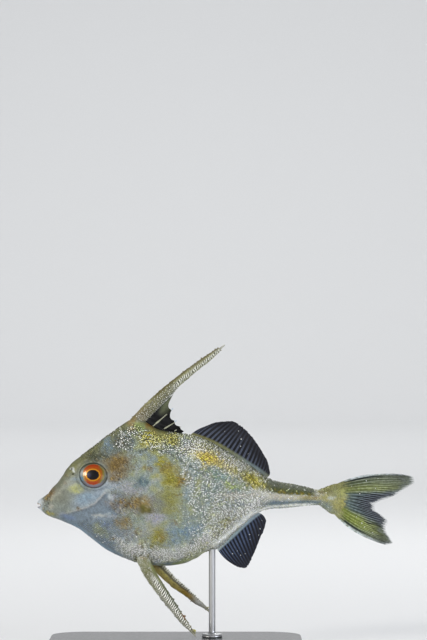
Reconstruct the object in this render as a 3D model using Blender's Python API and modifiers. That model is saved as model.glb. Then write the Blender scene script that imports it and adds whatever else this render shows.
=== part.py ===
"""A long-tail tripodfish at life size, as a still display model on a plain stand.

Lengths in this file are millimetres until the meshes are made. A station is a pair (s, h): s runs along the
fish from the tip of the snout, and h is the height above the level line from the jaw to the fork of the tail.
The head points to -X, the back to +Z, and the fish's own left side faces -Y.
"""

import math

import bmesh
import bpy
import numpy as np

# Driving dimensions
METRE = 0.001
TOTAL_LENGTH = 125.7
GAP = 0.3
BASE_THICKNESS = 4.0
TIP_CLEARANCE = 1.2
LOWEST_TIP = -44.6
LEVEL_LINE = BASE_THICKNESS + TIP_CLEARANCE - LOWEST_TIP

# Body: stations of the back and the belly, the height where it is widest, and its half width there
BACK = [
    (0.0, -0.5), (0.5, 0.1), (1.3, 0.7), (2.4, 1.4), (3.6, 2.4), (5.0, 4.1), (6.7, 5.8), (7.8, 7.5),
    (9.0, 9.4), (10.3, 11.1), (11.4, 12.4), (13.3, 14.0), (15.6, 15.6), (18.8, 18.0), (23.1, 21.5),
    (27.3, 24.5), (30.7, 26.6), (33.2, 27.4), (35.6, 26.4), (37.8, 24.8), (40.2, 23.5), (45.2, 22.6),
    (51.0, 21.8), (56.8, 19.8), (60.2, 18.1), (67.0, 14.0), (73.1, 10.1), (76.2, 7.7), (78.6, 6.6),
    (85.3, 5.3), (89.2, 4.5), (93.0, 3.5), (95.9, 4.4), (98.6, 5.3), (101.0, 5.5),
]
BELLY = [
    (0.0, -2.6), (0.5, -3.1), (1.4, -3.7), (2.7, -4.8), (4.4, -5.7), (6.5, -6.3), (8.6, -7.1),
    (10.7, -8.0), (14.1, -9.8), (18.0, -12.8), (21.4, -15.5), (24.8, -17.5), (29.9, -19.8),
    (35.9, -21.4), (42.2, -22.0), (48.6, -21.1), (52.8, -19.4), (56.1, -17.2), (59.6, -16.4),
    (65.3, -11.4), (70.8, -6.3), (73.6, -4.2), (76.2, -3.2), (78.6, -2.8), (85.3, -2.4), (90.9, -1.7),
    (93.4, -1.7), (95.4, -2.9), (97.6, -4.5), (101.0, -5.0),
]
WIDEST_LEVEL = [
    (0.0, -1.6), (5.0, -0.8), (10.0, 1.2), (18.0, 3.0), (30.0, 3.0), (45.0, 1.0), (60.0, 1.0),
    (73.0, 2.6), (80.0, 1.6), (93.0, 0.9), (101.0, 0.2),
]
HALF_WIDTH = [
    (0.0, 1.3), (0.6, 2.0), (1.5, 2.45), (2.4, 2.5), (3.4, 2.3), (4.3, 2.65), (10.0, 4.3), (15.0, 5.4),
    (20.0, 6.2), (28.0, 7.4), (36.0, 8.2), (44.0, 8.2), (52.0, 7.5), (60.0, 6.2), (68.0, 4.6),
    (75.0, 3.3), (82.0, 2.6), (88.0, 2.2), (93.0, 1.9), (96.0, 1.9), (99.0, 1.5), (101.0, 0.9),
]
BACK_GROWTH = 1.4
EDGE_SHARPNESS = [(0.0, 0.85), (12.0, 0.95), (30.0, 1.1), (60.0, 1.15), (80.0, 1.0), (101.0, 0.9)]
SNOUT_END = 4.8
HEAD_END = 32.4
TRUNK_END = 74.8
BODY_END = 101.0
SNOUT_STEP = 0.6
HEAD_STEP = 1.5
TRUNK_STEP = 2.2
STALK_STEP = 1.7
AROUND = 32

# Eye: an eyeball flattened along its own axis, which leans forward and up with the side of the head
EYE_AT = (18.6, 8.4)
EYE_OFF_CENTRE = 3.75
EYE_HALF = (4.6, 2.45, 4.15)
EYE_TURN_FORWARD = math.radians(8)
EYE_TURN_UP = math.radians(10)
EYE_FACES = (22, 11)

# Mouth and nostrils
MOUTH_LEVEL = -1.75
MOUTH_WEDGE = [(-1.0, 0.72), (1.3, 0.18), (3.0, 0.12)]
MOUTH_CUT_HALF = 6.0
TOOTH = (0.34, 0.5, 1.25)
TEETH_A_SIDE = 3
TOOTH_PITCH = 1.15
TEETH_FROM = 0.55
TEETH_CURVE = 0.12
LOWER_TEETH_BACK = 0.35
TOOTH_ROOT = 0.35
TOOTH_BITE = 0.22
TOOTH_TIP = 0.8
TOOTH_LEAN = 0.3
NOSTRILS = [((11.3, 10.4), 0.42), ((11.9, 8.9), 0.5)]
NOSTRIL_DEPTH = 0.7
NOSTRIL_FACES = (10, 6)

# Gill opening: a slit before the pectoral fin, from its upper end to its lower end
GILL_SLIT = [(35.2, 3.0), (34.4, 0.6), (34.3, -2.2), (35.0, -4.9)]
SLIT_WIDTH = 0.8
SLIT_DEPTH = 1.2
SLIT_STATIONS = 9
SLIT_END_WIDTH = 0.25
SLIT_END_DEPTH = 0.2

# Spines: centre line, half width seen from the side, and how thick they are across for each part of that
DORSAL_SPINE = [
    (31.0, 23.6), (34.7, 28.0), (40.7, 33.9), (46.6, 39.4), (50.0, 42.2), (53.5, 44.9), (57.0, 47.5),
    (59.6, 49.5), (61.0, 50.6), (62.4, 51.8),
]
DORSAL_SPINE_HALF = [2.2, 2.05, 1.95, 1.5, 1.35, 1.2, 1.0, 0.8, 0.5, 0.28]
LEFT_PELVIC = [
    (34.2, -17.6), (35.9, -21.3), (38.7, -26.2), (40.9, -29.3), (43.0, -32.2), (45.0, -34.8),
    (46.9, -37.4), (49.1, -40.2), (50.9, -42.3), (52.7, LOWEST_TIP),
]
LEFT_PELVIC_HALF = [2.0, 2.1, 1.85, 1.75, 1.6, 1.45, 1.2, 0.95, 0.65, 0.26]
RIGHT_PELVIC = [
    (33.4, -17.8), (36.6, -20.2), (40.2, -22.8), (42.8, -25.5), (45.3, -28.0), (48.1, -30.3),
    (50.7, -32.5), (53.0, -34.6), (55.4, -36.4), (57.4, -38.4),
]
RIGHT_PELVIC_HALF = [1.7, 1.75, 1.75, 1.7, 1.55, 1.35, 1.15, 0.95, 0.65, 0.28]
SPINE_FLATNESS = 0.78
PELVIC_ROOT = 2.05
LEFT_SPREAD = math.radians(16)
RIGHT_SPREAD = math.radians(20)
SPINE_SIDES = 10
SPINE_RINGS = 18
SPREAD_FROM_RING = 2

# Fins: stations of the root line and of the free edge, one pair for each named ray
SPINY_FIN_ROOT = [(35.2, 25.9), (38.4, 25.0), (42.2, 23.4), (45.4, 22.6), (47.9, 22.3)]
SPINY_FIN_EDGE = [(44.9, 34.9), (43.6, 29.4), (44.9, 25.9), (47.2, 24.3), (48.7, 22.9)]
SHORT_SPINES = [((38.4, 24.6), (45.0, 30.3)), ((41.6, 23.4), (46.2, 26.2)), ((44.9, 22.4), (47.8, 24.6))]
SHORT_SPINE_RADIUS = 0.5
SHORT_SPINE_TAPER = 0.7
SHORT_SPINE_RINGS = 6
SHORT_SPINE_SIDES = 8
SHORT_SPINE_CREST = 0.06
SOFT_FIN_ROOT = [
    (51.0, 21.8), (52.7, 21.3), (56.7, 19.8), (60.2, 18.1), (63.6, 16.1), (67.0, 14.0), (70.4, 11.8),
    (73.1, 10.1), (75.2, 8.6), (76.4, 7.6),
]
SOFT_FIN_EDGE = [
    (52.2, 22.6), (55.3, 24.3), (60.7, 26.2), (65.0, 26.3), (68.6, 24.3), (71.3, 21.5), (73.9, 17.7),
    (75.9, 14.3), (77.4, 10.8), (77.3, 8.6),
]
SOFT_FIN_RAYS = 22
ANAL_FIN_ROOT = [
    (59.8, -16.3), (60.9, -15.3), (62.5, -13.9), (64.2, -12.4), (66.1, -10.7), (68.1, -8.8),
    (69.9, -7.2), (71.6, -5.7), (72.9, -4.7), (73.6, -4.2),
]
ANAL_FIN_EDGE = [
    (61.0, -18.2), (64.1, -20.5), (66.6, -22.3), (68.7, -22.8), (70.2, -22.3), (71.6, -19.5),
    (73.0, -16.0), (74.4, -12.3), (75.9, -9.0), (76.2, -6.8),
]
ANAL_FIN_RAYS = 16
TAIL_FIN_ROOT = [
    (99.9, 5.5), (100.5, 5.1), (101.0, 4.4), (101.3, 3.7), (101.5, 3.0), (101.7, 2.2), (101.8, 1.4),
    (101.9, 0.6), (101.8, -0.2), (101.6, -1.0), (101.3, -1.8), (101.0, -2.6), (100.6, -3.3),
    (100.2, -4.0), (99.7, -4.5), (99.0, -4.9),
]
TAIL_FIN_EDGE = [
    (121.6, 8.6), (125.4, 7.6), (125.8, 6.0), (124.0, 4.6), (121.1, 2.8), (118.3, 0.9), (114.6, -0.4),
    (112.4, -1.8), (112.8, -3.5), (115.1, -5.3), (116.8, -7.2), (116.1, -9.0), (116.4, -11.0),
    (117.5, -12.7), (118.4, -14.4), (115.9, -15.1),
]
TAIL_FIN_RAYS = 15
TAIL_FIN_BOW = 1.5
PECTORAL_FIN_ROOT = [(36.6, 0.5), (36.3, -0.6), (36.2, -1.8), (36.4, -3.0), (36.8, -3.9)]
PECTORAL_FIN_EDGE = [(43.4, 5.2), (46.0, 3.6), (46.9, 1.0), (46.6, -1.8), (44.2, -4.2)]
PECTORAL_FIN_RAYS = 12
PECTORAL_FIN_FROM = 7.3
PECTORAL_FIN_RISE = 1.75
PECTORAL_FIN_LEAN = 0.9
PECTORAL_FIN_SINK = 0.15
MEMBRANE_HALF = 0.26
RAY_HALF = 0.2
FIN_EDGE_HALF = 0.14
FIN_ROWS = [0.0, 0.35, 0.65, 0.88, 1.0]
RAY_NOTCH = 0.02
ROOT_SINK = 2.2

# Stand
BASE_CENTRE = 46.0
BASE_SIZE = (84.0, 46.0)
BASE_CORNER = 12.0
BASE_CORNER_POINTS = 7
BASE_BEVEL = 0.7
BASE_BEVEL_SEGMENTS = 2
ROD_AT = 58.1
ROD_RADIUS = 1.1
ROD_FOOT_RADIUS = 3.4
ROD_FOOT_HEIGHT = 1.2
ROD_FOOT_RIM = 0.3
ROD_FILLET = [(0.0, 0.6), (0.25, 0.15), (0.8, 0.0)]
ROD_SIDES = 20
ROD_INTO_BODY = 4.0
ROD_MERGE = 0.00001

COLOURS = {
    "skin": ((0.44, 0.47, 0.42), 0.38),
    "spine": ((0.45, 0.42, 0.24), 0.5),
    "membrane": ((0.30, 0.33, 0.38), 0.35),
    "tail_membrane": ((0.38, 0.42, 0.22), 0.4),
    "eye": ((0.72, 0.22, 0.03), 0.1),
    "stand_board": ((0.05, 0.05, 0.055), 0.35),
    "stand_steel": ((0.60, 0.60, 0.61), 0.3),
}
METALS = {"stand_steel"}


def smooth(stations, at):
    """A curve through the stations that never overshoots them: cubic pieces with limited slopes."""
    x, y = np.array(stations, float).T
    at = np.clip(np.asarray(at, float), x[0], x[-1])
    rise = np.diff(y) / np.diff(x)
    slope = np.concatenate([[rise[0]], np.zeros(len(x) - 2), [rise[-1]]])
    turning = rise[:-1] * rise[1:] > 0
    slope[1:-1][turning] = 2 / (1 / rise[:-1][turning] + 1 / rise[1:][turning])
    i = np.clip(np.searchsorted(x, at, side="right") - 1, 0, len(x) - 2)
    width = x[i + 1] - x[i]
    t = (at - x[i]) / width
    return (
        y[i] * (1 + 2 * t) * (1 - t) ** 2
        + y[i + 1] * t**2 * (3 - 2 * t)
        + width * (slope[i] * t * (1 - t) ** 2 - slope[i + 1] * t**2 * (1 - t))
    )


def along(stations, at):
    """Points of the same curve for a list of any stations, where at runs from 0 to 1 in equal steps."""
    table = np.array(stations, float)
    steps = np.linspace(0, 1, len(table))
    return np.stack([smooth(np.stack([steps, c], 1), at) for c in table.T], -1)


def clear_scene():
    for obj in list(bpy.data.objects):
        bpy.data.objects.remove(obj)


def new_material(name):
    colour, roughness = COLOURS[name]
    material = bpy.data.materials.new(name)
    material.use_nodes = True
    shader = material.node_tree.nodes["Principled BSDF"]
    shader.inputs["Base Color"].default_value = (*colour, 1)
    shader.inputs["Roughness"].default_value = roughness
    shader.inputs["Metallic"].default_value = 1.0 if name in METALS else 0.0
    return material


def in_metres(points):
    """Points (s, y, h) in millimetres as places in the frame, in metres."""
    points = np.asarray(points, float)
    moved = points + np.array([-TOTAL_LENGTH / 2, 0, LEVEL_LINE])
    return moved * METRE


def new_object(name, points, faces, material=None):
    mesh = bpy.data.meshes.new(name)
    mesh.from_pydata(in_metres(points).tolist(), [], faces)
    mesh.update()
    obj = bpy.data.objects.new(name, mesh)
    fish.objects.link(obj)
    if material:
        mesh.materials.append(materials[material])
    return obj


def loft(rings):
    """Points and faces of a closed skin over rings that all have as many points, with flat ends."""
    rows, columns = len(rings), len(rings[0])
    points = np.reshape(rings, (-1, 3))
    faces = []
    for i in range(rows - 1):
        for j in range(columns):
            k = (j + 1) % columns
            a, b = i * columns, (i + 1) * columns
            faces.append((a + j, a + k, b + k, b + j))
    faces.append(tuple(range(columns - 1, -1, -1)))
    faces.append(tuple(range((rows - 1) * columns, rows * columns)))
    return points, faces


def evenly(first, last, step):
    return np.linspace(first, last, max(2, round((last - first) / step) + 1))


def body_rings(s, grow=0.0):
    """Rings of the body at the given stations, swollen by grow, and by more at the back and belly."""
    angles = np.linspace(0, 2 * math.pi, AROUND, endpoint=False)
    level = smooth(WIDEST_LEVEL, s)[:, None]
    up = smooth(BACK, s)[:, None] + BACK_GROWTH * grow - level
    down = level - smooth(BELLY, s)[:, None] + BACK_GROWTH * grow
    half = smooth(HALF_WIDTH, s)[:, None] + grow
    sharp = smooth(EDGE_SHARPNESS, s)[:, None]
    across, high = np.cos(angles), np.sin(angles)
    y = half * np.sign(across) * np.abs(across) ** sharp
    h = level + np.where(high > 0, up, down) * high
    return np.stack([np.broadcast_to(s[:, None], y.shape), y, h], -1)


def flank_width(s, h):
    """How far the body's surface is from the middle plane, at a height above its widest level."""
    ring = body_rings(np.array([s]))[0]
    upper = ring[(ring[:, 2] >= smooth(WIDEST_LEVEL, s)) & (ring[:, 1] >= 0)]
    order = np.argsort(upper[:, 2])
    return float(np.interp(h, upper[order, 2], upper[order, 1]))


def body_piece(name, stations):
    return new_object(name, *loft(body_rings(stations)), "skin")


def body_cutter(stations):
    """The whole body, swollen by the gap and drawn out past both ends, to cut roots with."""
    rings = body_rings(stations, GAP)
    ends = rings[[0, -1]].copy()
    ends[0, :, 0] -= GAP
    ends[1, :, 0] += GAP
    cutter = new_object("body_cutter", *loft([ends[0], *rings[1:-1], ends[1]]))
    cutter.hide_render = True
    cutter.display_type = "WIRE"
    return cutter


def combine(target, operation, others, solver="EXACT", keep=False):
    """Applies one Boolean of the target with the other objects, which are removed unless they are kept."""
    group = bpy.data.collections.new("operands")
    bpy.context.scene.collection.children.link(group)
    for other in others:
        group.objects.link(other)
    modifier = target.modifiers.new("combine", "BOOLEAN")
    modifier.operation = operation
    modifier.operand_type = "COLLECTION"
    modifier.collection = group
    modifier.solver = solver
    graph = bpy.context.evaluated_depsgraph_get()
    made = bpy.data.meshes.new_from_object(target.evaluated_get(graph), depsgraph=graph)
    target.modifiers.clear()
    target.data = made
    for other in others:
        group.objects.unlink(other)
        if not keep:
            bpy.data.objects.remove(other)
    bpy.data.collections.remove(group)
    keep_largest(target)


def keep_largest(obj):
    """Drops every closed surface of a mesh but the one that holds most."""
    shape = bmesh.new()
    shape.from_mesh(obj.data)
    left = set(shape.faces)
    islands = []
    while left:
        seed = left.pop()
        island, border = {seed}, [seed]
        while border:
            face = border.pop()
            for edge in face.edges:
                for near in edge.link_faces:
                    if near in left:
                        left.remove(near)
                        island.add(near)
                        border.append(near)
        islands.append(island)

    def held(island):
        total = 0.0
        for face in island:
            corners = [v.co for v in face.verts]
            for i in range(1, len(corners) - 1):
                total += corners[0].dot(corners[i].cross(corners[i + 1]))
        return total

    islands.sort(key=held)
    spare = [face for island in islands[:-1] for face in island]
    bmesh.ops.delete(shape, geom=spare, context="FACES")
    loose = [v for v in shape.verts if not v.link_faces]
    bmesh.ops.delete(shape, geom=loose, context="VERTS")
    shape.to_mesh(obj.data)
    shape.free()


def spine(name, line, half, root, spread, side, flatness=SPINE_FLATNESS):
    """A tapering spine along a line of stations, leaning out from the middle plane by the spread angle."""
    at = np.linspace(0, 1, SPINE_RINGS)
    centre = along(line, at)
    steps = np.linspace(0, 1, len(half))
    half_at = smooth(np.stack([steps, half], 1), at)
    way = np.gradient(centre, axis=0)
    way /= np.linalg.norm(way, axis=1)[:, None]
    travelled = np.concatenate([[0], np.cumsum(np.linalg.norm(np.diff(centre, axis=0), axis=1))])
    out = side * (root + np.maximum(travelled - travelled[SPREAD_FROM_RING], 0) * math.tan(spread))
    angles = np.linspace(0, 2 * math.pi, SPINE_SIDES, endpoint=False)
    rings = []
    for point, direction, y, r in zip(centre, way, out, half_at):
        level = np.cos(angles) * r
        across = np.sin(angles) * r * flatness
        rings.append(np.stack([
            point[0] - direction[1] * level,
            y + across,
            point[1] + direction[0] * level,
        ], -1))
    points, faces = loft(rings)
    return new_object(name, points, [face[::-1] for face in faces], "spine")


def fin(name, root, edge, rays, colour, bow=None, lateral=None, crests=None):
    """A fin: a membrane between its root line and its free edge, with a ridge along every ray on both faces.

    bow bends the rays away from the middle of the fin, and lateral gives the height off the middle plane.
    """
    if crests is None:
        crests = (np.arange(rays) + 0.5) / rays
        cell = 0.5 / rays
        columns = np.linspace(0, 1, 2 * rays + 1)
    else:
        cell = SHORT_SPINE_CREST
        sides = np.concatenate([[c - cell, c, c + cell] for c in crests])
        columns = np.unique(np.clip(np.concatenate([[0, 1], sides]), 0, 1))
    nearest = np.abs(columns[:, None] - crests).min(1)
    ridge = np.clip(1 - nearest / cell, 0, 1)
    rows = np.array([-1.0, *FIN_ROWS])
    low, high = along(root, columns), along(edge, columns)
    high = low + (high - low) * (1 - RAY_NOTCH * (1 - ridge))[:, None]
    way = high - low
    length = np.linalg.norm(way, axis=1)[:, None]
    sink = way / length * ROOT_SINK
    points = []
    for t in rows:
        flat = low - sink if t < 0 else low + way * t
        if bow is not None and t > 0:
            outward = np.stack([-way[:, 1], way[:, 0]], 1) / length
            flat = flat + outward * (bow(columns) * 4 * t * (1 - t))[:, None]
        thin = np.clip(t, 0, 1) ** 3
        half = (MEMBRANE_HALF + RAY_HALF * ridge) * (1 - thin) + FIN_EDGE_HALF * thin
        middle = lateral(t) if lateral else 0.0
        points.append(np.stack([flat[:, 0], middle + half, flat[:, 1]], 1))
        points.append(np.stack([flat[:, 0], middle - half, flat[:, 1]], 1))
    grid = np.stack(points).reshape(len(rows), 2, len(columns), 3)
    return new_object(name, grid.reshape(-1, 3), plate_faces(len(rows), len(columns)), colour)


def plate_faces(rows, columns):
    """Triangles of a thin closed plate, whose two faces are grids that are split alike."""

    def at(i, face, j):
        return (i * 2 + face) * columns + j

    faces = []
    for i in range(rows - 1):
        for j in range(columns - 1):
            a, b, c, d = at(i, 0, j), at(i, 0, j + 1), at(i + 1, 0, j + 1), at(i + 1, 0, j)
            faces += [(a, c, b), (a, d, c)]
            faces += [tuple(v + columns for v in (a, b, c)), tuple(v + columns for v in (a, c, d))]
        for j, flip in ((0, False), (columns - 1, True)):
            a, b, c, d = at(i, 0, j), at(i, 1, j), at(i + 1, 1, j), at(i + 1, 0, j)
            side = [(a, b, c), (a, c, d)]
            faces += [f[::-1] for f in side] if flip else side
    for i, flip in ((0, True), (rows - 1, False)):
        for j in range(columns - 1):
            a, b, c, d = at(i, 0, j), at(i, 0, j + 1), at(i, 1, j + 1), at(i, 1, j)
            side = [(a, c, b), (a, d, c)]
            faces += [f[::-1] for f in side] if flip else side
    return faces


def face_outwards(obj):
    shape = bmesh.new()
    shape.from_mesh(obj.data)
    bmesh.ops.recalc_face_normals(shape, faces=shape.faces)
    shape.to_mesh(obj.data)
    shape.free()


def shaped_ball(name, at, half, faces, material=None, turn=(0, 0)):
    """A ball stretched to three half sizes, turned about the upright axis and then leaned up."""
    bpy.ops.mesh.primitive_uv_sphere_add(segments=faces[0], ring_count=faces[1], radius=1)
    obj = bpy.context.object
    obj.name = name
    points = np.array([v.co for v in obj.data.vertices]) * np.array(half)[[0, 2, 1]]
    points = points[:, [0, 2, 1]] * np.array([1, -1, 1])
    lean, swing = turn
    c, n = math.cos(lean), math.sin(lean)
    x, y, z = points.T
    points = np.stack([x, c * y - n * z, n * y + c * z], 1)
    c, n = math.cos(swing), math.sin(swing)
    x, y, z = points.T
    points = np.stack([c * x - n * y, n * x + c * y, z], 1)
    places = in_metres(points + np.array(at))
    for vertex, place in zip(obj.data.vertices, places):
        vertex.co = place
    for other in list(obj.users_collection):
        other.objects.unlink(obj)
    fish.objects.link(obj)
    face_outwards(obj)
    if material:
        obj.data.materials.append(materials[material])
    return obj


def eye(name, side, grow=0.0, material=None):
    half = [size + grow for size in EYE_HALF]
    at = (EYE_AT[0], side * EYE_OFF_CENTRE, EYE_AT[1])
    turn = (side * EYE_TURN_UP, side * -EYE_TURN_FORWARD)
    return shaped_ball(name, at, half, EYE_FACES, material, turn)


def block(name, corners_low, corners_high):
    """A closed block between two quads of four points each, given in the same order."""
    return new_object(name, *loft([corners_low, corners_high]))


def mouth_cutter():
    """A wedge across the snout that opens forwards, which leaves an upper and a lower lip."""
    profile = [(s, MOUTH_LEVEL + half) for s, half in MOUTH_WEDGE]
    profile += [(s, MOUTH_LEVEL - half) for s, half in reversed(MOUTH_WEDGE)]
    sides = [[(s, y, h) for s, h in profile] for y in (-MOUTH_CUT_HALF, MOUTH_CUT_HALF)]
    cutter = block("mouth_cutter", *sides)
    face_outwards(cutter)
    return cutter


def tooth(index, upper):
    """One chisel tooth: rooted in the lip, standing in the gap of the mouth."""
    thick, wide, tall = TOOTH
    step = index + 0.5
    y = step * wide * TOOTH_PITCH
    s = TEETH_FROM + TEETH_CURVE * step**2 + (0.0 if upper > 0 else LOWER_TEETH_BACK)
    root = MOUTH_LEVEL + upper * (TOOTH_ROOT + tall)
    tip = MOUTH_LEVEL + upper * TOOTH_BITE
    quads = []
    for h, scale, lean in ((root, 1.0, 0.0), (tip, TOOTH_TIP, -TOOTH_LEAN)):
        quads.append([
            (s + lean + a * thick * scale, y + b * wide * scale / 2, h)
            for a, b in ((-1, -1), (-1, 1), (1, 1), (1, -1))
        ])
    cutter = block("tooth", *quads)
    face_outwards(cutter)
    return cutter


def slit_cutter(side):
    """A thin curved blade that cuts the gill opening into one flank."""
    at = np.linspace(0, 1, SLIT_STATIONS)
    centre = along(GILL_SLIT, at)
    y = side * smooth(HALF_WIDTH, centre[:, 0])
    rings = []
    for (s, h), out, t in zip(centre, y, at):
        bulge = math.sin(math.pi * t)
        half = SLIT_WIDTH / 2 * (SLIT_END_WIDTH + (1 - SLIT_END_WIDTH) * bulge)
        deep = SLIT_DEPTH * (SLIT_END_DEPTH + (1 - SLIT_END_DEPTH) * bulge)
        rings.append([
            (s - half, out - side * deep, h), (s + half, out - side * deep, h),
            (s + half, out + side, h), (s - half, out + side, h),
        ])
    cutter = new_object("slit_cutter", *loft(rings))
    face_outwards(cutter)
    return cutter


def make_head():
    head = body_piece("head", head_stations)
    cutters = [mouth_cutter(), eye("socket_left", -1, GAP), eye("socket_right", 1, GAP)]
    for side in (-1, 1):
        for (s, h), radius in NOSTRILS:
            out = side * flank_width(s, h)
            half = (radius, NOSTRIL_DEPTH, radius)
            cutters.append(shaped_ball("nostril", (s, out, h), half, NOSTRIL_FACES))
    combine(head, "DIFFERENCE", cutters)
    teeth = []
    for upper in (1, -1):
        for index in range(-TEETH_A_SIDE, TEETH_A_SIDE):
            teeth.append(tooth(index, upper))
    combine(head, "UNION", teeth)
    return head


def make_trunk():
    trunk = body_piece("trunk", trunk_stations)
    combine(trunk, "DIFFERENCE", [slit_cutter(-1), slit_cutter(1)])
    return trunk


def make_tail_stalk():
    return body_piece("tail_stalk", stalk_stations)


def pectoral_fin(name, side):
    """A pectoral fin: it leaves the flank steeply, then lies close along it."""

    def lateral(t):
        t = np.clip(t, -PECTORAL_FIN_SINK, 1)
        return side * (PECTORAL_FIN_FROM + PECTORAL_FIN_RISE * (1 - (1 - t) ** 3) + PECTORAL_FIN_LEAN * t)

    return fin(name, PECTORAL_FIN_ROOT, PECTORAL_FIN_EDGE, PECTORAL_FIN_RAYS, "membrane", lateral=lateral)


def make_spiny_fin(swollen_dorsal_spine):
    """The short spines behind the long one, with the web that joins them."""
    crests = np.linspace(0, 1, len(SPINY_FIN_ROOT))[1:-1]
    web = fin("spiny_dorsal_fin", SPINY_FIN_ROOT, SPINY_FIN_EDGE, 0, "membrane", crests=crests)
    short = []
    for low, high in SHORT_SPINES:
        at = np.linspace(0, 1, SHORT_SPINE_RINGS)[:, None]
        centre = np.array(low) + (np.array(high) - low) * at
        way = (np.array(high) - low) / np.linalg.norm(np.array(high) - low)
        angles = np.linspace(0, 2 * math.pi, SHORT_SPINE_SIDES, endpoint=False)
        rings = []
        for point, t in zip(centre, at[:, 0]):
            r = SHORT_SPINE_RADIUS * (1 - SHORT_SPINE_TAPER * t)
            rings.append(np.stack([
                point[0] - way[1] * np.cos(angles) * r,
                np.sin(angles) * r,
                point[1] + way[0] * np.cos(angles) * r,
            ], -1))
        piece = new_object("short_spine", *loft(rings))
        face_outwards(piece)
        short.append(piece)
    combine(web, "UNION", short)
    combine(web, "DIFFERENCE", [swollen_dorsal_spine])
    return web


def make_base():
    """A flat board with round corners and a softened rim."""
    long_half, wide_half = BASE_SIZE[0] / 2, BASE_SIZE[1] / 2
    corners = []
    for turn, (a, b) in enumerate(((1, 1), (-1, 1), (-1, -1), (1, -1))):
        for step in np.linspace(0, math.pi / 2, BASE_CORNER_POINTS):
            angle = turn * math.pi / 2 + step
            corners.append((
                BASE_CENTRE + a * (long_half - BASE_CORNER) + BASE_CORNER * math.cos(angle),
                b * (wide_half - BASE_CORNER) + BASE_CORNER * math.sin(angle),
            ))
    rings = [[(x, y, h - LEVEL_LINE) for x, y in corners] for h in (0.0, BASE_THICKNESS)]
    points, faces = loft(rings)
    board = new_object("stand_base", points, faces, "stand_board")
    face_outwards(board)
    rim = board.modifiers.new("rim", "BEVEL")
    rim.width = BASE_BEVEL * METRE
    rim.segments = BASE_BEVEL_SEGMENTS
    rim.limit_method = "ANGLE"
    return board


def make_rod():
    """A round steel rod on a low foot, turned in one piece."""
    foot = BASE_THICKNESS + GAP
    belly = LEVEL_LINE + float(smooth(BELLY, ROD_AT))
    top = belly + ROD_INTO_BODY
    shoulder = foot + ROD_FOOT_HEIGHT
    fillet = [(ROD_RADIUS + out, shoulder + up) for out, up in ROD_FILLET]
    profile = [
        (0.0, top), (ROD_RADIUS, top), *fillet, (ROD_FOOT_RADIUS - ROD_FOOT_RIM, shoulder),
        (ROD_FOOT_RADIUS, shoulder - ROD_FOOT_RIM), (ROD_FOOT_RADIUS, foot), (0.0, foot),
    ]
    mesh = bpy.data.meshes.new("stand_rod")
    at = [(r * METRE, 0, h * METRE) for r, h in profile]
    mesh.from_pydata(at, [(i, i + 1) for i in range(len(at) - 1)], [])
    obj = bpy.data.objects.new("stand_rod", mesh)
    fish.objects.link(obj)
    obj.location = ((ROD_AT - TOTAL_LENGTH / 2) * METRE, 0, 0)
    mesh.materials.append(materials["stand_steel"])
    turn = obj.modifiers.new("turn", "SCREW")
    turn.steps = turn.render_steps = ROD_SIDES
    turn.use_merge_vertices = True
    turn.merge_threshold = ROD_MERGE
    bpy.context.view_layer.update()
    graph = bpy.context.evaluated_depsgraph_get()
    made = bpy.data.meshes.new_from_object(obj.evaluated_get(graph), depsgraph=graph)
    obj.modifiers.clear()
    made.transform(obj.matrix_world)
    obj.location = (0, 0, 0)
    obj.data = made
    face_outwards(obj)
    return obj


def tail_bow(columns):
    """Rays of the upper lobe bend upwards and those of the lower lobe downwards."""
    return TAIL_FIN_BOW * (1 - 2 * columns)


clear_scene()
fish = bpy.data.collections.new("long_tail_tripodfish")
bpy.context.scene.collection.children.link(fish)
materials = {name: new_material(name) for name in COLOURS}

snout_stations = evenly(0.0, SNOUT_END, SNOUT_STEP)
head_stations = np.concatenate([snout_stations, evenly(SNOUT_END, HEAD_END, HEAD_STEP)[1:]])
trunk_stations = evenly(HEAD_END + GAP, TRUNK_END, TRUNK_STEP)
stalk_stations = evenly(TRUNK_END + GAP, BODY_END, STALK_STEP)

make_head()
make_trunk()
make_tail_stalk()
eye("eye_left", -1, 0.0, "eye")
eye("eye_right", 1, 0.0, "eye")

cutter = body_cutter(np.concatenate([head_stations, trunk_stations, stalk_stations]))
dorsal_spine = spine("dorsal_spine", DORSAL_SPINE, DORSAL_SPINE_HALF, 0.0, 0.0, 1)
swollen_half = [half + GAP for half in DORSAL_SPINE_HALF]
swollen = spine("swollen_spine", DORSAL_SPINE, swollen_half, 0.0, 0.0, 1, 1.0)
spiny_fin = make_spiny_fin(swollen)
left_spine = spine("pelvic_spine_left", LEFT_PELVIC, LEFT_PELVIC_HALF, PELVIC_ROOT, LEFT_SPREAD, -1)
right_spine = spine("pelvic_spine_right", RIGHT_PELVIC, RIGHT_PELVIC_HALF, PELVIC_ROOT, RIGHT_SPREAD, 1)
soft_fin = fin("soft_dorsal_fin", SOFT_FIN_ROOT, SOFT_FIN_EDGE, SOFT_FIN_RAYS, "membrane")
anal_fin = fin("anal_fin", ANAL_FIN_ROOT, ANAL_FIN_EDGE, ANAL_FIN_RAYS, "membrane")
tail_fin = fin("tail_fin", TAIL_FIN_ROOT, TAIL_FIN_EDGE, TAIL_FIN_RAYS, "tail_membrane", bow=tail_bow)
left_fin = pectoral_fin("pectoral_fin_left", -1)
right_fin = pectoral_fin("pectoral_fin_right", 1)
make_base()
rod = make_rod()
grown = [
    dorsal_spine, spiny_fin, left_spine, right_spine, soft_fin, anal_fin, tail_fin, left_fin, right_fin, rod,
]
for piece in grown:
    face_outwards(piece)
    combine(piece, "DIFFERENCE", [cutter], keep=True)
bpy.data.objects.remove(cutter)
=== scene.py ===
# Long-tail tripodfish at life size on a plain display stand. Lengths are millimetres until a mesh is made.
import math

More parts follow.
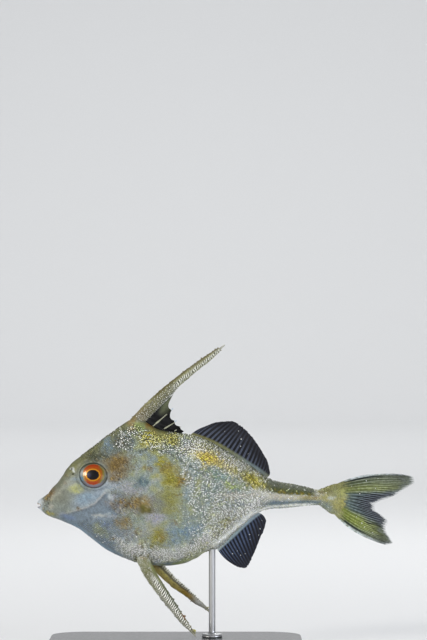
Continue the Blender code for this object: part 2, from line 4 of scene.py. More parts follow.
import bpy
import numpy as np
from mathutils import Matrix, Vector


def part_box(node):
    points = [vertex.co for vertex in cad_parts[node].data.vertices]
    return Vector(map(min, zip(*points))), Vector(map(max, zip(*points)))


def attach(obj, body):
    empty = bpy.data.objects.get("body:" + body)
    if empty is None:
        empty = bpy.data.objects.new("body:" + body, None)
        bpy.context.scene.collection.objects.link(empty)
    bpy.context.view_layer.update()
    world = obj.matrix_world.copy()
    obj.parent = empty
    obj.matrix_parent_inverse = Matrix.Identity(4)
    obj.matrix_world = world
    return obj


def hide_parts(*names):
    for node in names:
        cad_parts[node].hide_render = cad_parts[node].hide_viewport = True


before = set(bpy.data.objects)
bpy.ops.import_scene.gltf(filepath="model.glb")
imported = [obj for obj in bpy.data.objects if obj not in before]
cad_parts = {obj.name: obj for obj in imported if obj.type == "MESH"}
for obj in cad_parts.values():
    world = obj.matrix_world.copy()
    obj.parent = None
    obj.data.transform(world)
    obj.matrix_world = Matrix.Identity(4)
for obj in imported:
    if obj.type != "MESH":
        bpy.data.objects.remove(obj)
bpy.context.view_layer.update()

mm = 0.001
print("frame loaded:", len(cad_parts), "nodes")

# A station (s, h): s runs from the tip of the snout to the tail, h is the height
# above the line from jaw to tail. The frame gives both origins: the snout's tip,
# and the board's top with the clearance and drop of the lowest spine.
stationOrigin = {"snoutX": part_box("head")[0].x / mm, "boardTop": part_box("stand_base")[1].z / mm,
                 "tipClearance": 1.2, "lowestTip": 44.6}
levelZ = stationOrigin["boardTop"] + stationOrigin["tipClearance"] + stationOrigin["lowestTip"]


# A smooth step: 0 below low, 1 above high, and 3t² - 2t³ between them
def ease(value, low, high):
    t = np.clip((value - low) / (high - low), 0, 1)
    return t * t * (3 - 2 * t)


# The same step turned round: 1 below low and 0 above high
def fall(value, low, high):
    return 1 - ease(value, low, high)


# 1 from b to c, and 0 before a and after d
def span(value, a, b, c, d):
    return ease(value, a, b) * fall(value, c, d)


# A bell: 1 at the middle and about a third at one width from it
def bell(value, middle, width):
    return np.exp(-(((value - middle) / width) ** 2))


# How far a place is from the middle of a tilted ellipse, where 1 is on its edge
def ellipse(x, z, at, half, tilt=0):
    c, n = math.cos(math.radians(tilt)), math.sin(math.radians(tilt))
    x, z = x - at[0], z - at[1]
    return np.hypot((x * c + z * n) / half[0], (z * c - x * n) / half[1])


# Equal steps round a circle, in radians
def turns(count):
    return np.linspace(0, 2 * math.pi, count, endpoint=False)


# Points (s, y, h) from places (s, h) in the plane of the flank and how far they lie to its side
def aside(flat, y=0.0):
    return np.stack([flat[..., 0], np.broadcast_to(y, flat.shape[:-1]), flat[..., 1]], -1)


# A curve through stations that never overshoots: cubic pieces
# whose slopes are harmonic means, level at turning points
def curve(stations, at):
    x, y = np.array(stations, float).T
    at = np.clip(np.asarray(at, float), x[0], x[-1])
    rise = np.diff(y) / np.diff(x)
    slope = np.concatenate([[rise[0]], np.zeros(len(x) - 2), [rise[-1]]])
    same = rise[:-1] * rise[1:] > 0
    slope[1:-1][same] = 2 / (1 / rise[:-1][same] + 1 / rise[1:][same])
    i = np.clip(np.searchsorted(x, at, side="right") - 1, 0, len(x) - 2)
    width = x[i + 1] - x[i]
    t = (at - x[i]) / width
    return (y[i] * (1 + 2 * t) * (1 - t) ** 2 + y[i + 1] * t**2 * (3 - 2 * t)
            + width * (slope[i] * t * (1 - t) ** 2 - slope[i + 1] * t**2 * (1 - t)))


# The same curve through points of any kind, which are passed at equal steps from 0 to 1
def curveAlong(points, at):
    table = np.array(points, float).reshape(len(points), -1)
    steps = np.linspace(0, 1, len(table))
    return np.stack([curve(np.stack([steps, column], 1), at) for column in table.T], -1)


# Smooth noise from about -1 to 1: the sum of sine waves of nearly one length in seeded random directions
def ripple(points, size, seed, waves=14):
    draw = np.random.default_rng(seed)
    way = draw.normal(size=(waves, 3))
    way *= (draw.uniform(0.7, 1.4, waves) / np.linalg.norm(way, axis=1) * 2 * math.pi / size)[:, None]
    total = sum(np.sin(points @ w + p) for w, p in zip(way, draw.uniform(0, 2 * math.pi, waves)))
    return total / math.sqrt(waves)


# How far points (x, z) lie from an open line of points, and
# the share of the line that lies before the nearest place
def lineDistance(x, z, line):
    ends = np.array(line, float)
    best, where = np.full(np.shape(x), 1e9), np.zeros(np.shape(x))
    for n in range(len(ends) - 1):
        way = ends[n + 1] - ends[n]
        t = np.clip(((x - ends[n][0]) * way[0] + (z - ends[n][1]) * way[1]) / (way @ way), 0, 1)
        far = np.hypot(x - ends[n][0] - t * way[0], z - ends[n][1] - t * way[1])
        where = np.where(far < best, (n + t) / (len(ends) - 1), where)
        best = np.minimum(best, far)
    return best, where


# Unit normals of a grid of points: the cross product of its
# row and column differences; columns may close round
def gridNormals(points, closed=True):
    alongRows = np.gradient(points, axis=0)
    if closed:
        alongColumns = np.roll(points, -1, 1) - np.roll(points, 1, 1)
    else:
        alongColumns = np.gradient(points, axis=1)
    normal = np.cross(alongRows, alongColumns)
    return normal / np.maximum(np.linalg.norm(normal, axis=-1, keepdims=True), 1e-9)


# Colours of the fish's own parts. A tone is one of these names, or a hex code.
tones = {
    "silver": "#8c958d", "blueGrey": "#6d7a86", "steel": "#7e929f", "violet": "#6c7c98", "olive": "#74744a",
    "darkOlive": "#444733", "gold": "#c2ae5a", "yellow": "#938e48", "paleYellow": "#9fa26e",
    "brown": "#6b5836", "rust": "#6c5a34", "tan": "#82714a", "orange": "#6f5b28", "cream": "#b0ada2",
    "lilac": "#a3a2a8", "teal": "#56696f", "straw": "#a09d6a", "husk": "#cbcfae", "moss": "#5e5920",
    "sea": "#6f8c84", "white": "#c8cdca", "green": "#8c9a55", "lipTan": "#6d5a3b", "dark": "#1d1815",
    "nape": "#4a4c41", "dot": "#8a4f1c", "pigment": "#2e2118",
}


# A tone's linear values, which shaders take
def linear(tone):
    code = tones.get(tone, tone)
    value = np.array([int(code[i:i + 2], 16) for i in (1, 3, 5)]) / 255
    return np.where(value <= 0.04045, value / 12.92, ((value + 0.055) / 1.055) ** 2.4)


# Mixes a linear colour field towards one tone after another, each by its own amount from 0 to 1
def wash(colour, *layers):
    for tone, amount in layers:
        colour = colour + (linear(tone) - colour) * np.clip(amount, 0, 1)[..., None]
    return colour


# Corner numbers of a grid's quads, and the flat places of the same corners, where v
# doesn't jump back at the join. A closed grid joins its last column to its first.
def gridCells(rows, columns, closed):
    cells = columns if closed else columns - 1
    i, j = np.meshgrid(np.arange(rows - 1), np.arange(cells), indexing="ij")
    k = (j + 1) % columns
    faces = np.stack([i * columns + j, i * columns + k, (i + 1) * columns + k, (i + 1) * columns + j], -1)
    flat = np.stack([np.stack([i, i, i + 1, i + 1], -1) / (rows - 1),
                     np.stack([j, j + 1, j + 1, j], -1) / cells], -1)
    return faces.reshape(-1, 4), flat.reshape(-1, 4, 2)


# Makes one piece from points in millimetres and arrays of corner numbers,
# all faces outwards, riding on the body. marks holds a linear colour and a
# fourth value for each point, and flat holds each corner's place for baking.
def addPiece(name, points, faces, material, slot=None, marks=None, flat=None, replaced=()):
    points = np.asarray(points, float).reshape(-1, 3)
    held = 0.0
    for group in faces:
        for k in range(1, group.shape[1] - 1):
            a, b, c = points[group[:, 0]], points[group[:, k]], points[group[:, k + 1]]
            held += np.einsum("ij,ij->", a, np.cross(b, c))
    if held < 0:
        faces = [group[:, ::-1] for group in faces]
        flat = None if flat is None else [corner[:, ::-1] for corner in flat]
    corners = np.concatenate([group.ravel() for group in faces]).astype(np.int32)
    sizes = np.concatenate([np.full(len(group), group.shape[1]) for group in faces]).astype(np.int32)
    mesh = bpy.data.meshes.new(name)
    mesh.vertices.add(len(points))
    mesh.vertices.foreach_set("co", ((points + [stationOrigin["snoutX"], 0, levelZ])
                                     * mm).astype(np.float32).ravel())
    mesh.loops.add(len(corners))
    mesh.loops.foreach_set("vertex_index", corners)
    mesh.polygons.add(len(sizes))
    mesh.polygons.foreach_set("loop_start", np.concatenate([[0], np.cumsum(sizes)[:-1]]).astype(np.int32))
    mesh.polygons.foreach_set("loop_total", sizes)
    mesh.update(calc_edges=True)
    if marks is not None:
        values = np.asarray(marks, float).reshape(len(points), -1)
        if values.shape[1] == 3:
            values = np.concatenate([values, np.zeros((len(points), 1))], 1)
        layer = mesh.attributes.new("marks", "FLOAT_COLOR", "POINT")
        layer.data.foreach_set("color", values.astype(np.float32).ravel())
    if flat is not None:
        layer = mesh.uv_layers.new(name="OFBake")
        layer.data.foreach_set("uv",
                               np.concatenate([c.reshape(-1, 2) for c in flat]).astype(np.float32).ravel())
    mesh.shade_smooth()
    mesh.materials.append(material)
    piece = bpy.data.objects.new(name, mesh)
    bpy.context.scene.collection.objects.link(piece)
    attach(piece, "root")
    if replaced:
        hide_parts(*replaced)
    return piece


# A closed skin over rings of equal count, with a point in the middle of each end
def addTube(name, rings, material, marks=None, **more):
    rows, columns = rings.shape[:2]
    here = np.arange(columns)
    after, end = np.roll(here, -1), (rows - 1) * columns
    grid, flat = gridCells(rows, columns, True)
    faces = [grid, np.stack([np.full(columns, rows * columns), after, here], 1),
             np.stack([np.full(columns, rows * columns + 1), end + here, end + after], 1)]
    flat = [flat]
    for u, corners in ((0, (0.5, 1, 0)), (1, (0.5, 0, 1))):
        v = (here[:, None] + corners) / columns
        flat.append(np.stack([np.full_like(v, u), v], -1))
    points = np.concatenate([rings.reshape(-1, 3), rings[[0, -1]].mean(1)])
    if marks is not None:
        marks = np.concatenate([marks.reshape(rows * columns, -1), marks[[0, -1]].mean(1)])
    addPiece(name, points, faces, material, marks=marks, flat=flat, **more)


# A thin closed plate about a middle grid, as thick as two halves, with a strip of quads along each border
def addPlate(name, flat, middle, half, material, marks, **more):
    rows, columns = flat.shape[:2]
    grid = gridCells(rows, columns, False)[0]
    near = np.arange(rows * columns).reshape(rows, columns)
    far = near + rows * columns
    strips = [np.stack(corners, -1) for corners in (
        (near[:-1, 0], near[1:, 0], far[1:, 0], far[:-1, 0]),
        (near[1:, -1], near[:-1, -1], far[:-1, -1], far[1:, -1]),
        (near[0, 1:], near[0, :-1], far[0, :-1], far[0, 1:]),
        (near[-1, :-1], near[-1, 1:], far[-1, 1:], far[-1, :-1]))]
    # the two faces lie side by side on the unwrap
    place = np.stack(np.meshgrid(np.linspace(0, 1, rows), np.linspace(0, 1, columns), indexing="ij"), -1)
    place = place.reshape(-1, 2) * [0.48, 1]
    place = np.concatenate([place, place + [0.52, 0]])
    faces = [grid, (grid + rows * columns)[:, ::-1], *strips]
    points = np.concatenate([aside(flat, middle + side * half).reshape(-1, 3) for side in (1, -1)])
    addPiece(name, points, faces, material, marks=np.concatenate([marks.reshape(rows * columns, -1)] * 2),
             flat=[place[faces[0]], place[faces[1]], *(place[s % (rows * columns)] for s in strips)], **more)


# One small closed bead: rings of the given (half length, half width, height, shift back), a top and a bottom
# point. Returns its points, its triangles and, for each point, how far up the bead it is from 0 to 1.
def beadShape(sides, rings):
    angle = (np.arange(sides) + 0.5) * 2 * math.pi / sides
    points = [np.stack([np.cos(angle) * a + d, np.sin(angle) * b, np.full(sides, z)], 1)
              for a, b, z, d in rings]
    top, low = rings[-1], rings[0]
    points = np.concatenate([*points, [[top[3], 0, top[2] * 1.12], [0, 0, low[2]]]])
    here = np.arange(sides)
    after = np.roll(here, -1)
    faces = []
    for n in range(len(rings) - 1):
        a, b = n * sides + here, n * sides + after
        faces += [np.stack([a, b, b + sides], 1), np.stack([a, b + sides, a + sides], 1)]
    end = (len(rings) - 1) * sides
    faces.append(np.stack([end + here, end + after, np.full(sides, len(points) - 2)], 1))
    faces.append(np.stack([after, here, np.full(sides, len(points) - 1)], 1))
    rise = np.concatenate([np.repeat(np.linspace(0, 1, len(rings)), sides), [1.0, 0.0]])
    return points, np.concatenate(faces), rise


# Copies of a bead, each on its own root: local x runs back along the surface, y across it and z out of it.
# They sway about z and lean off it by a few random degrees.
def addBeads(name, shape, roots, backward, outward, size, material, tonesOf, patches=None, seed=1,
             sway=10, lean=6, **more):
    draw = np.random.default_rng(seed)
    points, triangles, rise = shape
    count, each = len(roots), len(points)
    outward = outward + draw.normal(size=(count, 3)) * math.tan(math.radians(lean))
    outward /= np.linalg.norm(outward, axis=1)[:, None]
    backward = backward - (backward * outward).sum(1)[:, None] * outward
    backward /= np.maximum(np.linalg.norm(backward, axis=1), 1e-9)[:, None]
    across = np.cross(outward, backward)
    turn = np.radians(draw.normal(size=count) * sway)[:, None]
    axes = (backward * np.cos(turn) + across * np.sin(turn), across * np.cos(turn) - backward * np.sin(turn),
            outward)
    size = np.broadcast_to(size, (count,))[:, None, None]
    placed = roots[:, None] + size * sum(points[None, :, n:n + 1] * axis[:, None]
                                         for n, axis in enumerate(axes))
    faces = (triangles[None] + (np.arange(count) * each)[:, None, None]).reshape(-1, 3)
    flat = None
    if patches is not None:
        # each bead is a patch about 0.003 across at its root's place on the skin's own unwrap
        place = patches[:, None] + points[None, :, :2] / np.abs(points[:, :2]).max() * 0.0015
        flat = [place.reshape(-1, 2)[faces]]
    addPiece(name, placed, [faces], material, marks=tonesOf(rise, count), flat=flat, **more)


# The tones of plain beads: one colour for all or for each, times foot at the bottom and foot + gain at the
# top; a foot below 1 is painted shade and a gain a painted highlight
def rising(colour, foot=1.0, gain=0.0):
    return lambda rise, count: np.zeros((count, 1, 3)) + colour * (foot + gain * rise[None, :, None])


# Sets the inputs of a node, each to a value or to the socket that it is linked from
def plug(tree, node, inputs):
    for name, value in inputs.items():
        if isinstance(value, bpy.types.NodeSocket):
            tree.links.new(value, node.inputs[name])
        else:
            node.inputs[name].default_value = value


# Adds one node with its own settings and its inputs, and gives its outputs
def addNode(tree, kind, inputs, **settings):
    made = tree.nodes.new(kind)
    for name, value in settings.items():
        setattr(made, name, value)
    plug(tree, made, inputs)
    return made.outputs


def newMaterial(name):
    material = bpy.data.materials.new(name)
    material.use_nodes = True
    tree = material.node_tree
    return material, tree, tree.nodes["Principled BSDF"], addNode(tree, "ShaderNodeTexCoord", {})["Object"]


# The fish's finishes, named for the real ones. One grain, so many millimetres across, darkens and lightens
# the marks' colour by shade, makes the roughness and raises the bump, given as its strength and its height.
finishes = {
    # wet skin under clear varnish: silver platelets give a satin gleam, and pigment cells give fine specks
    "varnished fish skin": {
        "grain": 0.45, "detail": 4, "coarse": 0.65, "shade": (0.72, 1.3), "rough": (0.36, 0.62),
        "specks": 1.25, "cells": 0.32, "bump": (0.6, 0.03),
        "shader": {"Metallic": 0.12, "Coat Weight": 0.12, "Coat Roughness": 0.3, "IOR": 1.42}},
    # bony plates over a mirror of guanine, which flash as small metal beads do, with a worn fine grain
    "silvered scale": {"grain": 0.12, "detail": 2, "rough": (0.16, 0.36), "specks": 1.25, "shader": {
        "Metallic": 0.45, "Coat Weight": 0.25, "Coat Roughness": 0.15, "IOR": 1.5}},
    # clear skin over soft rays; the fourth value of the marks is how far it hides what lies behind it
    "clear fin web": {"grain": 0.6, "detail": 3, "shade": (0.8, 1.2), "bump": (0.3, 0.02), "fourth": "Alpha",
                      "shader": {"Roughness": 0.5, "Coat Weight": 0.1, "Coat Roughness": 0.2, "IOR": 1.33,
                                 "Specular IOR Level": 0.3}},
    # bone under thin skin: matt to satin, with a fine fibrous grain along it
    "rough spine bone": {
        "grain": 0.25, "detail": 5, "coarse": 0.7, "shade": (0.7, 1.25), "rough": (0.32, 0.6),
        "bump": (0.5, 0.05), "shader": {"IOR": 1.5, "Coat Weight": 0.15, "Coat Roughness": 0.3}},
    # a polished clear dome, which mirrors the lights sharply, over an iris of metallic fibres
    "polished eye": {"grain": 0.16, "detail": 4, "shade": (0.82, 1.18), "fourth": "Metallic", "shader": {
        "Roughness": 0.3, "Coat Weight": 0.55, "Coat Roughness": 0.04, "Coat IOR": 1.38, "IOR": 1.3}},
    # lip and gum: wet and slightly see-through, so light spreads a little under it
    "lip flesh": {"grain": 0.3, "detail": 3, "shade": (0.8, 1.15), "shader": {
        "Roughness": 0.32, "Coat Weight": 0.5, "Coat Roughness": 0.1, "IOR": 1.4, "Subsurface Weight": 0.25,
        "Subsurface Scale": 0.6 * mm}},
}
# the tail's web is the same as the other fins', but wetter
finishes["yellow fin web"] = {**finishes["clear fin web"],
                              "shader": {**finishes["clear fin web"]["shader"], "Roughness": 0.4}}
# how pigment cells turn into specks: their reach for each
# unit of the marks' fourth value, soft edge and strength
pigment = {"reach": 0.3, "edge": 0.08, "strength": 0.8}


def makeFinish(name):
    look = finishes[name]
    material, tree, shader, place = newMaterial(name)
    marks = addNode(tree, "ShaderNodeAttribute", {}, attribute_name="marks")
    grain = addNode(tree, "ShaderNodeTexNoise", {
        "Vector": place, "Scale": 1 / (look["grain"] * mm), "Detail": look["detail"],
        "Roughness": look.get("coarse", 0.5)})["Fac"]
    made = {**look["shader"], "Base Color": marks["Color"]}
    if "shade" in look:
        shade = addNode(tree, "ShaderNodeMapRange", {"Value": grain, "From Min": 0.3, "From Max": 0.7,
                                                     "To Min": look["shade"][0], "To Max": look["shade"][1]})
        made["Base Color"] = addNode(tree, "ShaderNodeVectorMath", {0: marks["Color"], 1: shade[0]},
                                     operation="MULTIPLY")[0]
    if "specks" in look:
        cells = addNode(tree, "ShaderNodeTexVoronoi", {"Vector": place, "Scale": 1 / (look["specks"] * mm)})
        reach = addNode(tree, "ShaderNodeMath", {0: marks["Alpha"], 1: pigment["reach"]},
                        operation="MULTIPLY")
        inside = addNode(tree, "ShaderNodeMath", {0: reach[0], 1: cells["Distance"]}, operation="SUBTRACT")
        speck = addNode(tree, "ShaderNodeMapRange", {"Value": inside[0], "From Max": pigment["edge"],
                                                     "To Max": pigment["strength"]})
        made["Base Color"] = addNode(tree, "ShaderNodeMix", {0: speck[0], 6: made["Base Color"],
                                                             7: (*linear("pigment"), 1)}, data_type="RGBA")[2]
    if "rough" in look:
        made["Roughness"] = addNode(tree, "ShaderNodeMapRange", {
            "Value": grain, "To Min": look["rough"][0], "To Max": look["rough"][1]})[0]
    if "bump" in look:
        height = grain
        if "cells" in look:
            height = addNode(tree, "ShaderNodeTexVoronoi",
                             {"Vector": place, "Scale": 1 / (look["cells"] * mm)})[0]
        made["Normal"] = addNode(tree, "ShaderNodeBump", {
            "Height": height, "Strength": look["bump"][0], "Distance": look["bump"][1] * mm},
            invert="cells" in look)[0]
    if "fourth" in look:
        made[look["fourth"]] = marks["Alpha"]
    plug(tree, shader, made)
    return material


# Black lacquered beech: the sprayed lacquer half fills the
# pores, so the long grain only shows as a faint relief
boardFinish = {"grainAlong": 14.0, "grainAcross": 0.5, "orangePeel": 0.9}


def makeBoardMaterial():
    material, tree, shader, place = newMaterial("black lacquered beech")
    along, across, orangePeel = (1 / (size * mm) for size in boardFinish.values())
    stretch = addNode(tree, "ShaderNodeMapping", {"Vector": place, "Scale": (along, across, across)})
    pores = addNode(tree, "ShaderNodeTexNoise", {"Vector": stretch[0], "Scale": 1.0, "Detail": 4.0})["Fac"]
    peel = addNode(tree, "ShaderNodeTexNoise", {"Vector": place, "Scale": orangePeel})["Fac"]
    tint = addNode(tree, "ShaderNodeMix", {0: pores, 6: (*linear("#131314"), 1), 7: (*linear("#262527"), 1)},
                   data_type="RGBA")
    rough = addNode(tree, "ShaderNodeMapRange", {"Value": peel, "To Min": 0.28, "To Max": 0.42})
    both = addNode(tree, "ShaderNodeMath", {0: pores, 1: peel}, operation="ADD")
    bump = addNode(tree, "ShaderNodeBump", {"Height": both[0], "Strength": 0.35, "Distance": 0.03 * mm})
    plug(tree, shader, {"Base Color": tint[2], "Roughness": rough[0], "Normal": bump[0], "Coat Weight": 0.35,
                        "Coat Roughness": 0.12, "IOR": 1.5})
    return material


# Turned stainless steel: the tool leaves fine rings round the rod, a few hundredths of a millimetre deep
def makeSteelMaterial():
    material, tree, shader, place = newMaterial("turned stainless steel")
    flatten = addNode(tree, "ShaderNodeMapping", {"Vector": place, "Scale": (60.0, 60.0, 1 / (0.18 * mm))})
    rings = addNode(tree, "ShaderNodeTexNoise", {"Vector": flatten[0], "Scale": 1.0, "Detail": 3.0})["Fac"]
    rough = addNode(tree, "ShaderNodeMapRange", {"Value": rings, "To Min": 0.3, "To Max": 0.5})
    bump = addNode(tree, "ShaderNodeBump", {"Height": rings, "Strength": 0.25, "Distance": 0.01 * mm})
    plug(tree, shader, {"Base Color": (*linear("#b9babb"), 1), "Metallic": 1.0, "Roughness": rough[0],
                        "Normal": bump[0]})
    return material


skinMaterial, scaleMaterial, boneMaterial = (
    makeFinish(name) for name in ("varnished fish skin", "silvered scale", "rough spine bone"))
webMaterial, tailMaterial, eyeMaterial, fleshMaterial = (
    makeFinish(name) for name in ("clear fin web", "yellow fin web", "polished eye", "lip flesh"))
boardMaterial, steelMaterial = makeBoardMaterial(), makeSteelMaterial()
print("materials made")

# The body in section: heights of the back and the belly,
# the level where it is widest, and its half width there
body = {
    "back": [(0, -0.5), (0.5, 0.1), (1.3, 0.7), (2.4, 1.4), (3.6, 2.4), (5, 4.1), (6.7, 5.8), (7.8, 7.5),
             (9, 9.4), (10.3, 11.1), (11.4, 12.4), (13.3, 14), (15.6, 15.6), (18.8, 18), (23.1, 21.5),
             (27.3, 24.5), (30.7, 26.6), (33.2, 27.4), (35.6, 26.4), (37.8, 24.8), (40.2, 23.5), (45.2, 22.6),
             (51, 21.8), (56.8, 19.8), (60.2, 18.1), (67, 14), (73.1, 10.1), (76.2, 7.7), (78.6, 6.6),
             (85.3, 5.3), (89.2, 4.5), (93, 3.5), (95.9, 4.4), (98.6, 5.3), (101, 5.5)],
    "belly": [(0, -2.6), (0.5, -3.1), (1.4, -3.7), (2.7, -4.8), (4.4, -5.7), (6.5, -6.3), (8.6, -7.1),
              (10.7, -8), (14.1, -9.8), (18, -12.8), (21.4, -15.5), (24.8, -17.5), (29.9, -19.8),
              (35.9, -21.4), (42.2, -22), (48.6, -21.1), (52.8, -19.4), (56.1, -17.2), (59.6, -16.4),
              (65.3, -11.4), (70.8, -6.3), (73.6, -4.2), (76.2, -3.2), (78.6, -2.8), (85.3, -2.4),
              (90.9, -1.7), (93.4, -1.7), (95.4, -2.9), (97.6, -4.5), (101, -5)],
    "widest": [(0, -1.6), (5, -0.8), (10, 1.2), (18, 3), (30, 3), (45, 1), (60, 1), (73, 2.6), (80, 1.6),
               (93, 0.9), (101, 0.2)],
    "halfWidth": [(0, 1.3), (0.6, 2), (1.5, 2.45), (2.4, 2.5), (3.4, 2.3), (4.3, 2.65), (10, 4.3), (15, 5.4),
                  (20, 6.2), (28, 7.4), (36, 8.2), (44, 8.2), (52, 7.5), (60, 6.2), (68, 4.6), (75, 3.3),
                  (82, 2.6), (88, 2.2), (93, 1.9), (96, 1.9), (99, 1.5), (101, 0.9)],
    "sharpness": [(0, 0.85), (12, 0.95), (30, 1.1), (60, 1.15), (80, 1), (101, 0.9)],
    "end": 101.0,
}
# The mouth from its closed back to the rim of the lips:
# place, half width, height of the upper and of the lower lip
mouth = {
    "rows": [(2.6, 0.9, -1.72, -1.80), (1.7, 1.1, -1.66, -1.87), (1.1, 1.2, -1.57, -1.97),
             (0.65, 1.3, -1.44, -2.1), (0.3, 1.4, -1.27, -2.26), (0.06, 1.5, -1.05, -2.47),
             (-0.04, 1.62, -0.80, -2.68), (0.0, 1.75, -0.55, -2.86), (0.18, 1.88, -0.26, -3.0)],
    "level": -1.75, "cornerSetBack": 1.35, "setBackEnd": 5.0, "lowerSetBack": 0.32,
}
eye = {"oval": ((18.75, 8.4), (4.5, 3.95), -8.0), "rimHeight": 0.16, "socketDepth": 3.2}
nostrils = [((11.3, 10.4), 0.42, 0.10), ((11.9, 8.9), 0.38, 0.05)]
cheekLine = [(22.7, 3.1), (21.4, 1.4), (18.9, -1.0), (15.9, -2.4), (12.3, -3.4), (9.3, -4.3), (6.3, -4.5)]
lowerCheekLine = [(18.2, -4.8), (20.5, -4.7), (23.1, -5.1)]
gillSlit = [(35.2, 3.0), (34.4, 0.6), (34.3, -2.2), (35.0, -4.9)]
finPad = {"oval": ((35.9, -2.0), (2.0, 2.7)), "height": 0.4}


# A section: y = w·|cos a|^k and h = widest level + up (or
# down)·sin a, as a runs round from the fish's right flank
def section(s, a):
    level = curve(body["widest"], s)
    up, down = curve(body["back"], s) - level, level - curve(body["belly"], s)
    c, n = np.cos(a), np.sin(a)
    y = curve(body["halfWidth"], s) * np.sign(c) * np.abs(c) ** curve(body["sharpness"], s)
    return np.stack([s + np.zeros_like(a), y, level + np.where(n > 0, up, down) * n], -1)


# How far a place lies below the back and above the belly
def depths(s, h):
    return curve(body["back"], s) - h, h - curve(body["belly"], s)


# The plane that the eye sits in: y = a + b·x + c·z, fitted by least squares to the head round the eye's edge
def eyePlane():
    (eyeS, eyeH), half, _ = eye["oval"]
    x, z = half[0] * np.cos(turns(48)), half[1] * np.sin(turns(48))
    s, h = eyeS + x, eyeH + z
    level = curve(body["widest"], s)
    lift = np.clip((h - level) / (curve(body["back"], s) - level), 0, 1)
    y = curve(body["halfWidth"], s) * np.sqrt(1 - lift**2) ** curve(body["sharpness"], s)
    return np.linalg.lstsq(np.stack([np.ones_like(s), x, z], 1), y, rcond=None)[0]


planeTerms = eyePlane()

skin = {"around": 312, "flankCrowding": 0.62,
        "stations": [(0.4, 5, 32), (5, 34, 104), (34, 76, 92), (76, 101, 60)]}


# The skin is one grid: rows along the fish, columns round
# it, crowded to make its cells nearly square on the flanks
def skinGrid():
    a = turns(skin["around"])
    a = a - skin["flankCrowding"] * np.sin(2 * a) / 2
    c, n = np.cos(a), np.sin(a)
    stations = np.concatenate([np.linspace(*run[:2], run[2], endpoint=False) for run in skin["stations"]]
                              + [[body["end"]]])
    lips = []
    for s, half, top, low in mouth["rows"]:
        h = mouth["level"] + np.where(n > 0, top - mouth["level"], mouth["level"] - low) * n
        lips.append(np.stack([np.full_like(a, s), half * np.sign(c) * np.abs(c) ** 0.85, h], -1))
    rings = np.concatenate([lips, section(stations[:, None], a[None])])
    corner = fall(np.maximum(rings[..., 0], 0), 0.4, mouth["setBackEnd"])
    lower = fall(rings[..., 0], 0.1, 1.4) * ease(-n, 0.05, 0.5)[None]
    rings[..., 0] += mouth["cornerSetBack"] * np.abs(c)[None] ** 3 * corner + mouth["lowerSetBack"] * lower
    return rings, a, stations


# Soft muscle lines that run back and down over the cheek, as far as the given station
def cheekMuscles(points, end):
    s, _, h = np.moveaxis(points, -1, 0)
    waves = np.sin((h + 0.35 * (s - 10)) * 2.1 + ripple(points, 5.0, 6))
    return waves * span(s, 6, 12, end, end + 6) * ease(6 - h, 0, 5)


# The relief of the skin, outwards in millimetres, the painted shade of its creases, and how far it is from
# the eye
def skinRelief(points):
    s, y, h = np.moveaxis(points, -1, 0)
    flank = ease(np.abs(y), 0.3, 1.2)
    q = ellipse(s, h, *eye["oval"])
    relief = 0.07 * ripple(points, 9.0, 3) + 0.035 * ripple(points, 2.6, 4) * ease(s, 3, 8)
    relief *= ease(s, 1.0, 5.0)
    relief += flank * (eye["rimHeight"] * bell(q, 1.13, 0.07) - 0.16 * bell(q, 1.27, 0.07))
    relief += flank * 0.35 * bell(q, 1.45, 0.2) * ease(h, 10, 13)
    # painted shade: darker in the groove round the eye, in the nostrils, along the lip crease and in the gill
    # slit
    creaseShade = flank * (0.85 * bell(q, 1.02, 0.05) + 0.3 * bell(q, 1.3, 0.09))
    for (ns, nh), radius, rim in nostrils:
        r = np.hypot(s - ns, h - nh) / radius
        relief += flank * (rim + 0.14) * bell(r, 1.35, 0.4) - flank * 0.75 * fall(r, 0.35, 1.0)
        creaseShade += flank * 0.95 * fall(r, 0.5, 1.0)
    lipCrease = 3.4 + 0.12 * ripple(points, 3.0, 5)
    relief -= 0.12 * bell(s, lipCrease, 0.32) * ease(h, -4.6, -3.6)
    wavy = h + 0.4 * ripple(points, 1.2, 7)
    creaseShade += 0.4 * bell(s, lipCrease, 0.26) * ease(wavy, -3.4, -0.8) * fall(h, 0.6, 1.8)
    for line, height in ((cheekLine, 0.08), (lowerCheekLine, 0.05)):
        far, where = lineDistance(s, h, line)
        fold = bell(far, 0, 0.35) - 0.5 * bell(far, 0.77, 0.35)
        relief += flank * span(where, 0, 0.12, 0.86, 1) * height * fold
    far, where = lineDistance(s, h, gillSlit)
    slit = flank * bell(far, 0, 0.3) * span(where, 0, 0.15, 0.85, 1)
    relief += flank * 0.2 * bell(far, 0.9, 0.5) * ease(gillSlit[1][0] - s, -0.2, 0.6) - 0.4 * slit
    creaseShade += 0.3 * slit
    relief += flank * finPad["height"] * fall(ellipse(s, h, *finPad["oval"]), 0.35, 1.0) * ease(s, 34.5, 35.4)
    relief += 0.03 * flank * cheekMuscles(points, 28)
    far, _ = lineDistance(s, h, [(36, 11.5), (46, 9.5), (56, 6), (66, 3), (76, 1.6), (94, 1.2)])
    relief -= flank * 0.12 * bell(far, 0, 0.35)
    return relief, np.clip(creaseShade, 0, 1), q
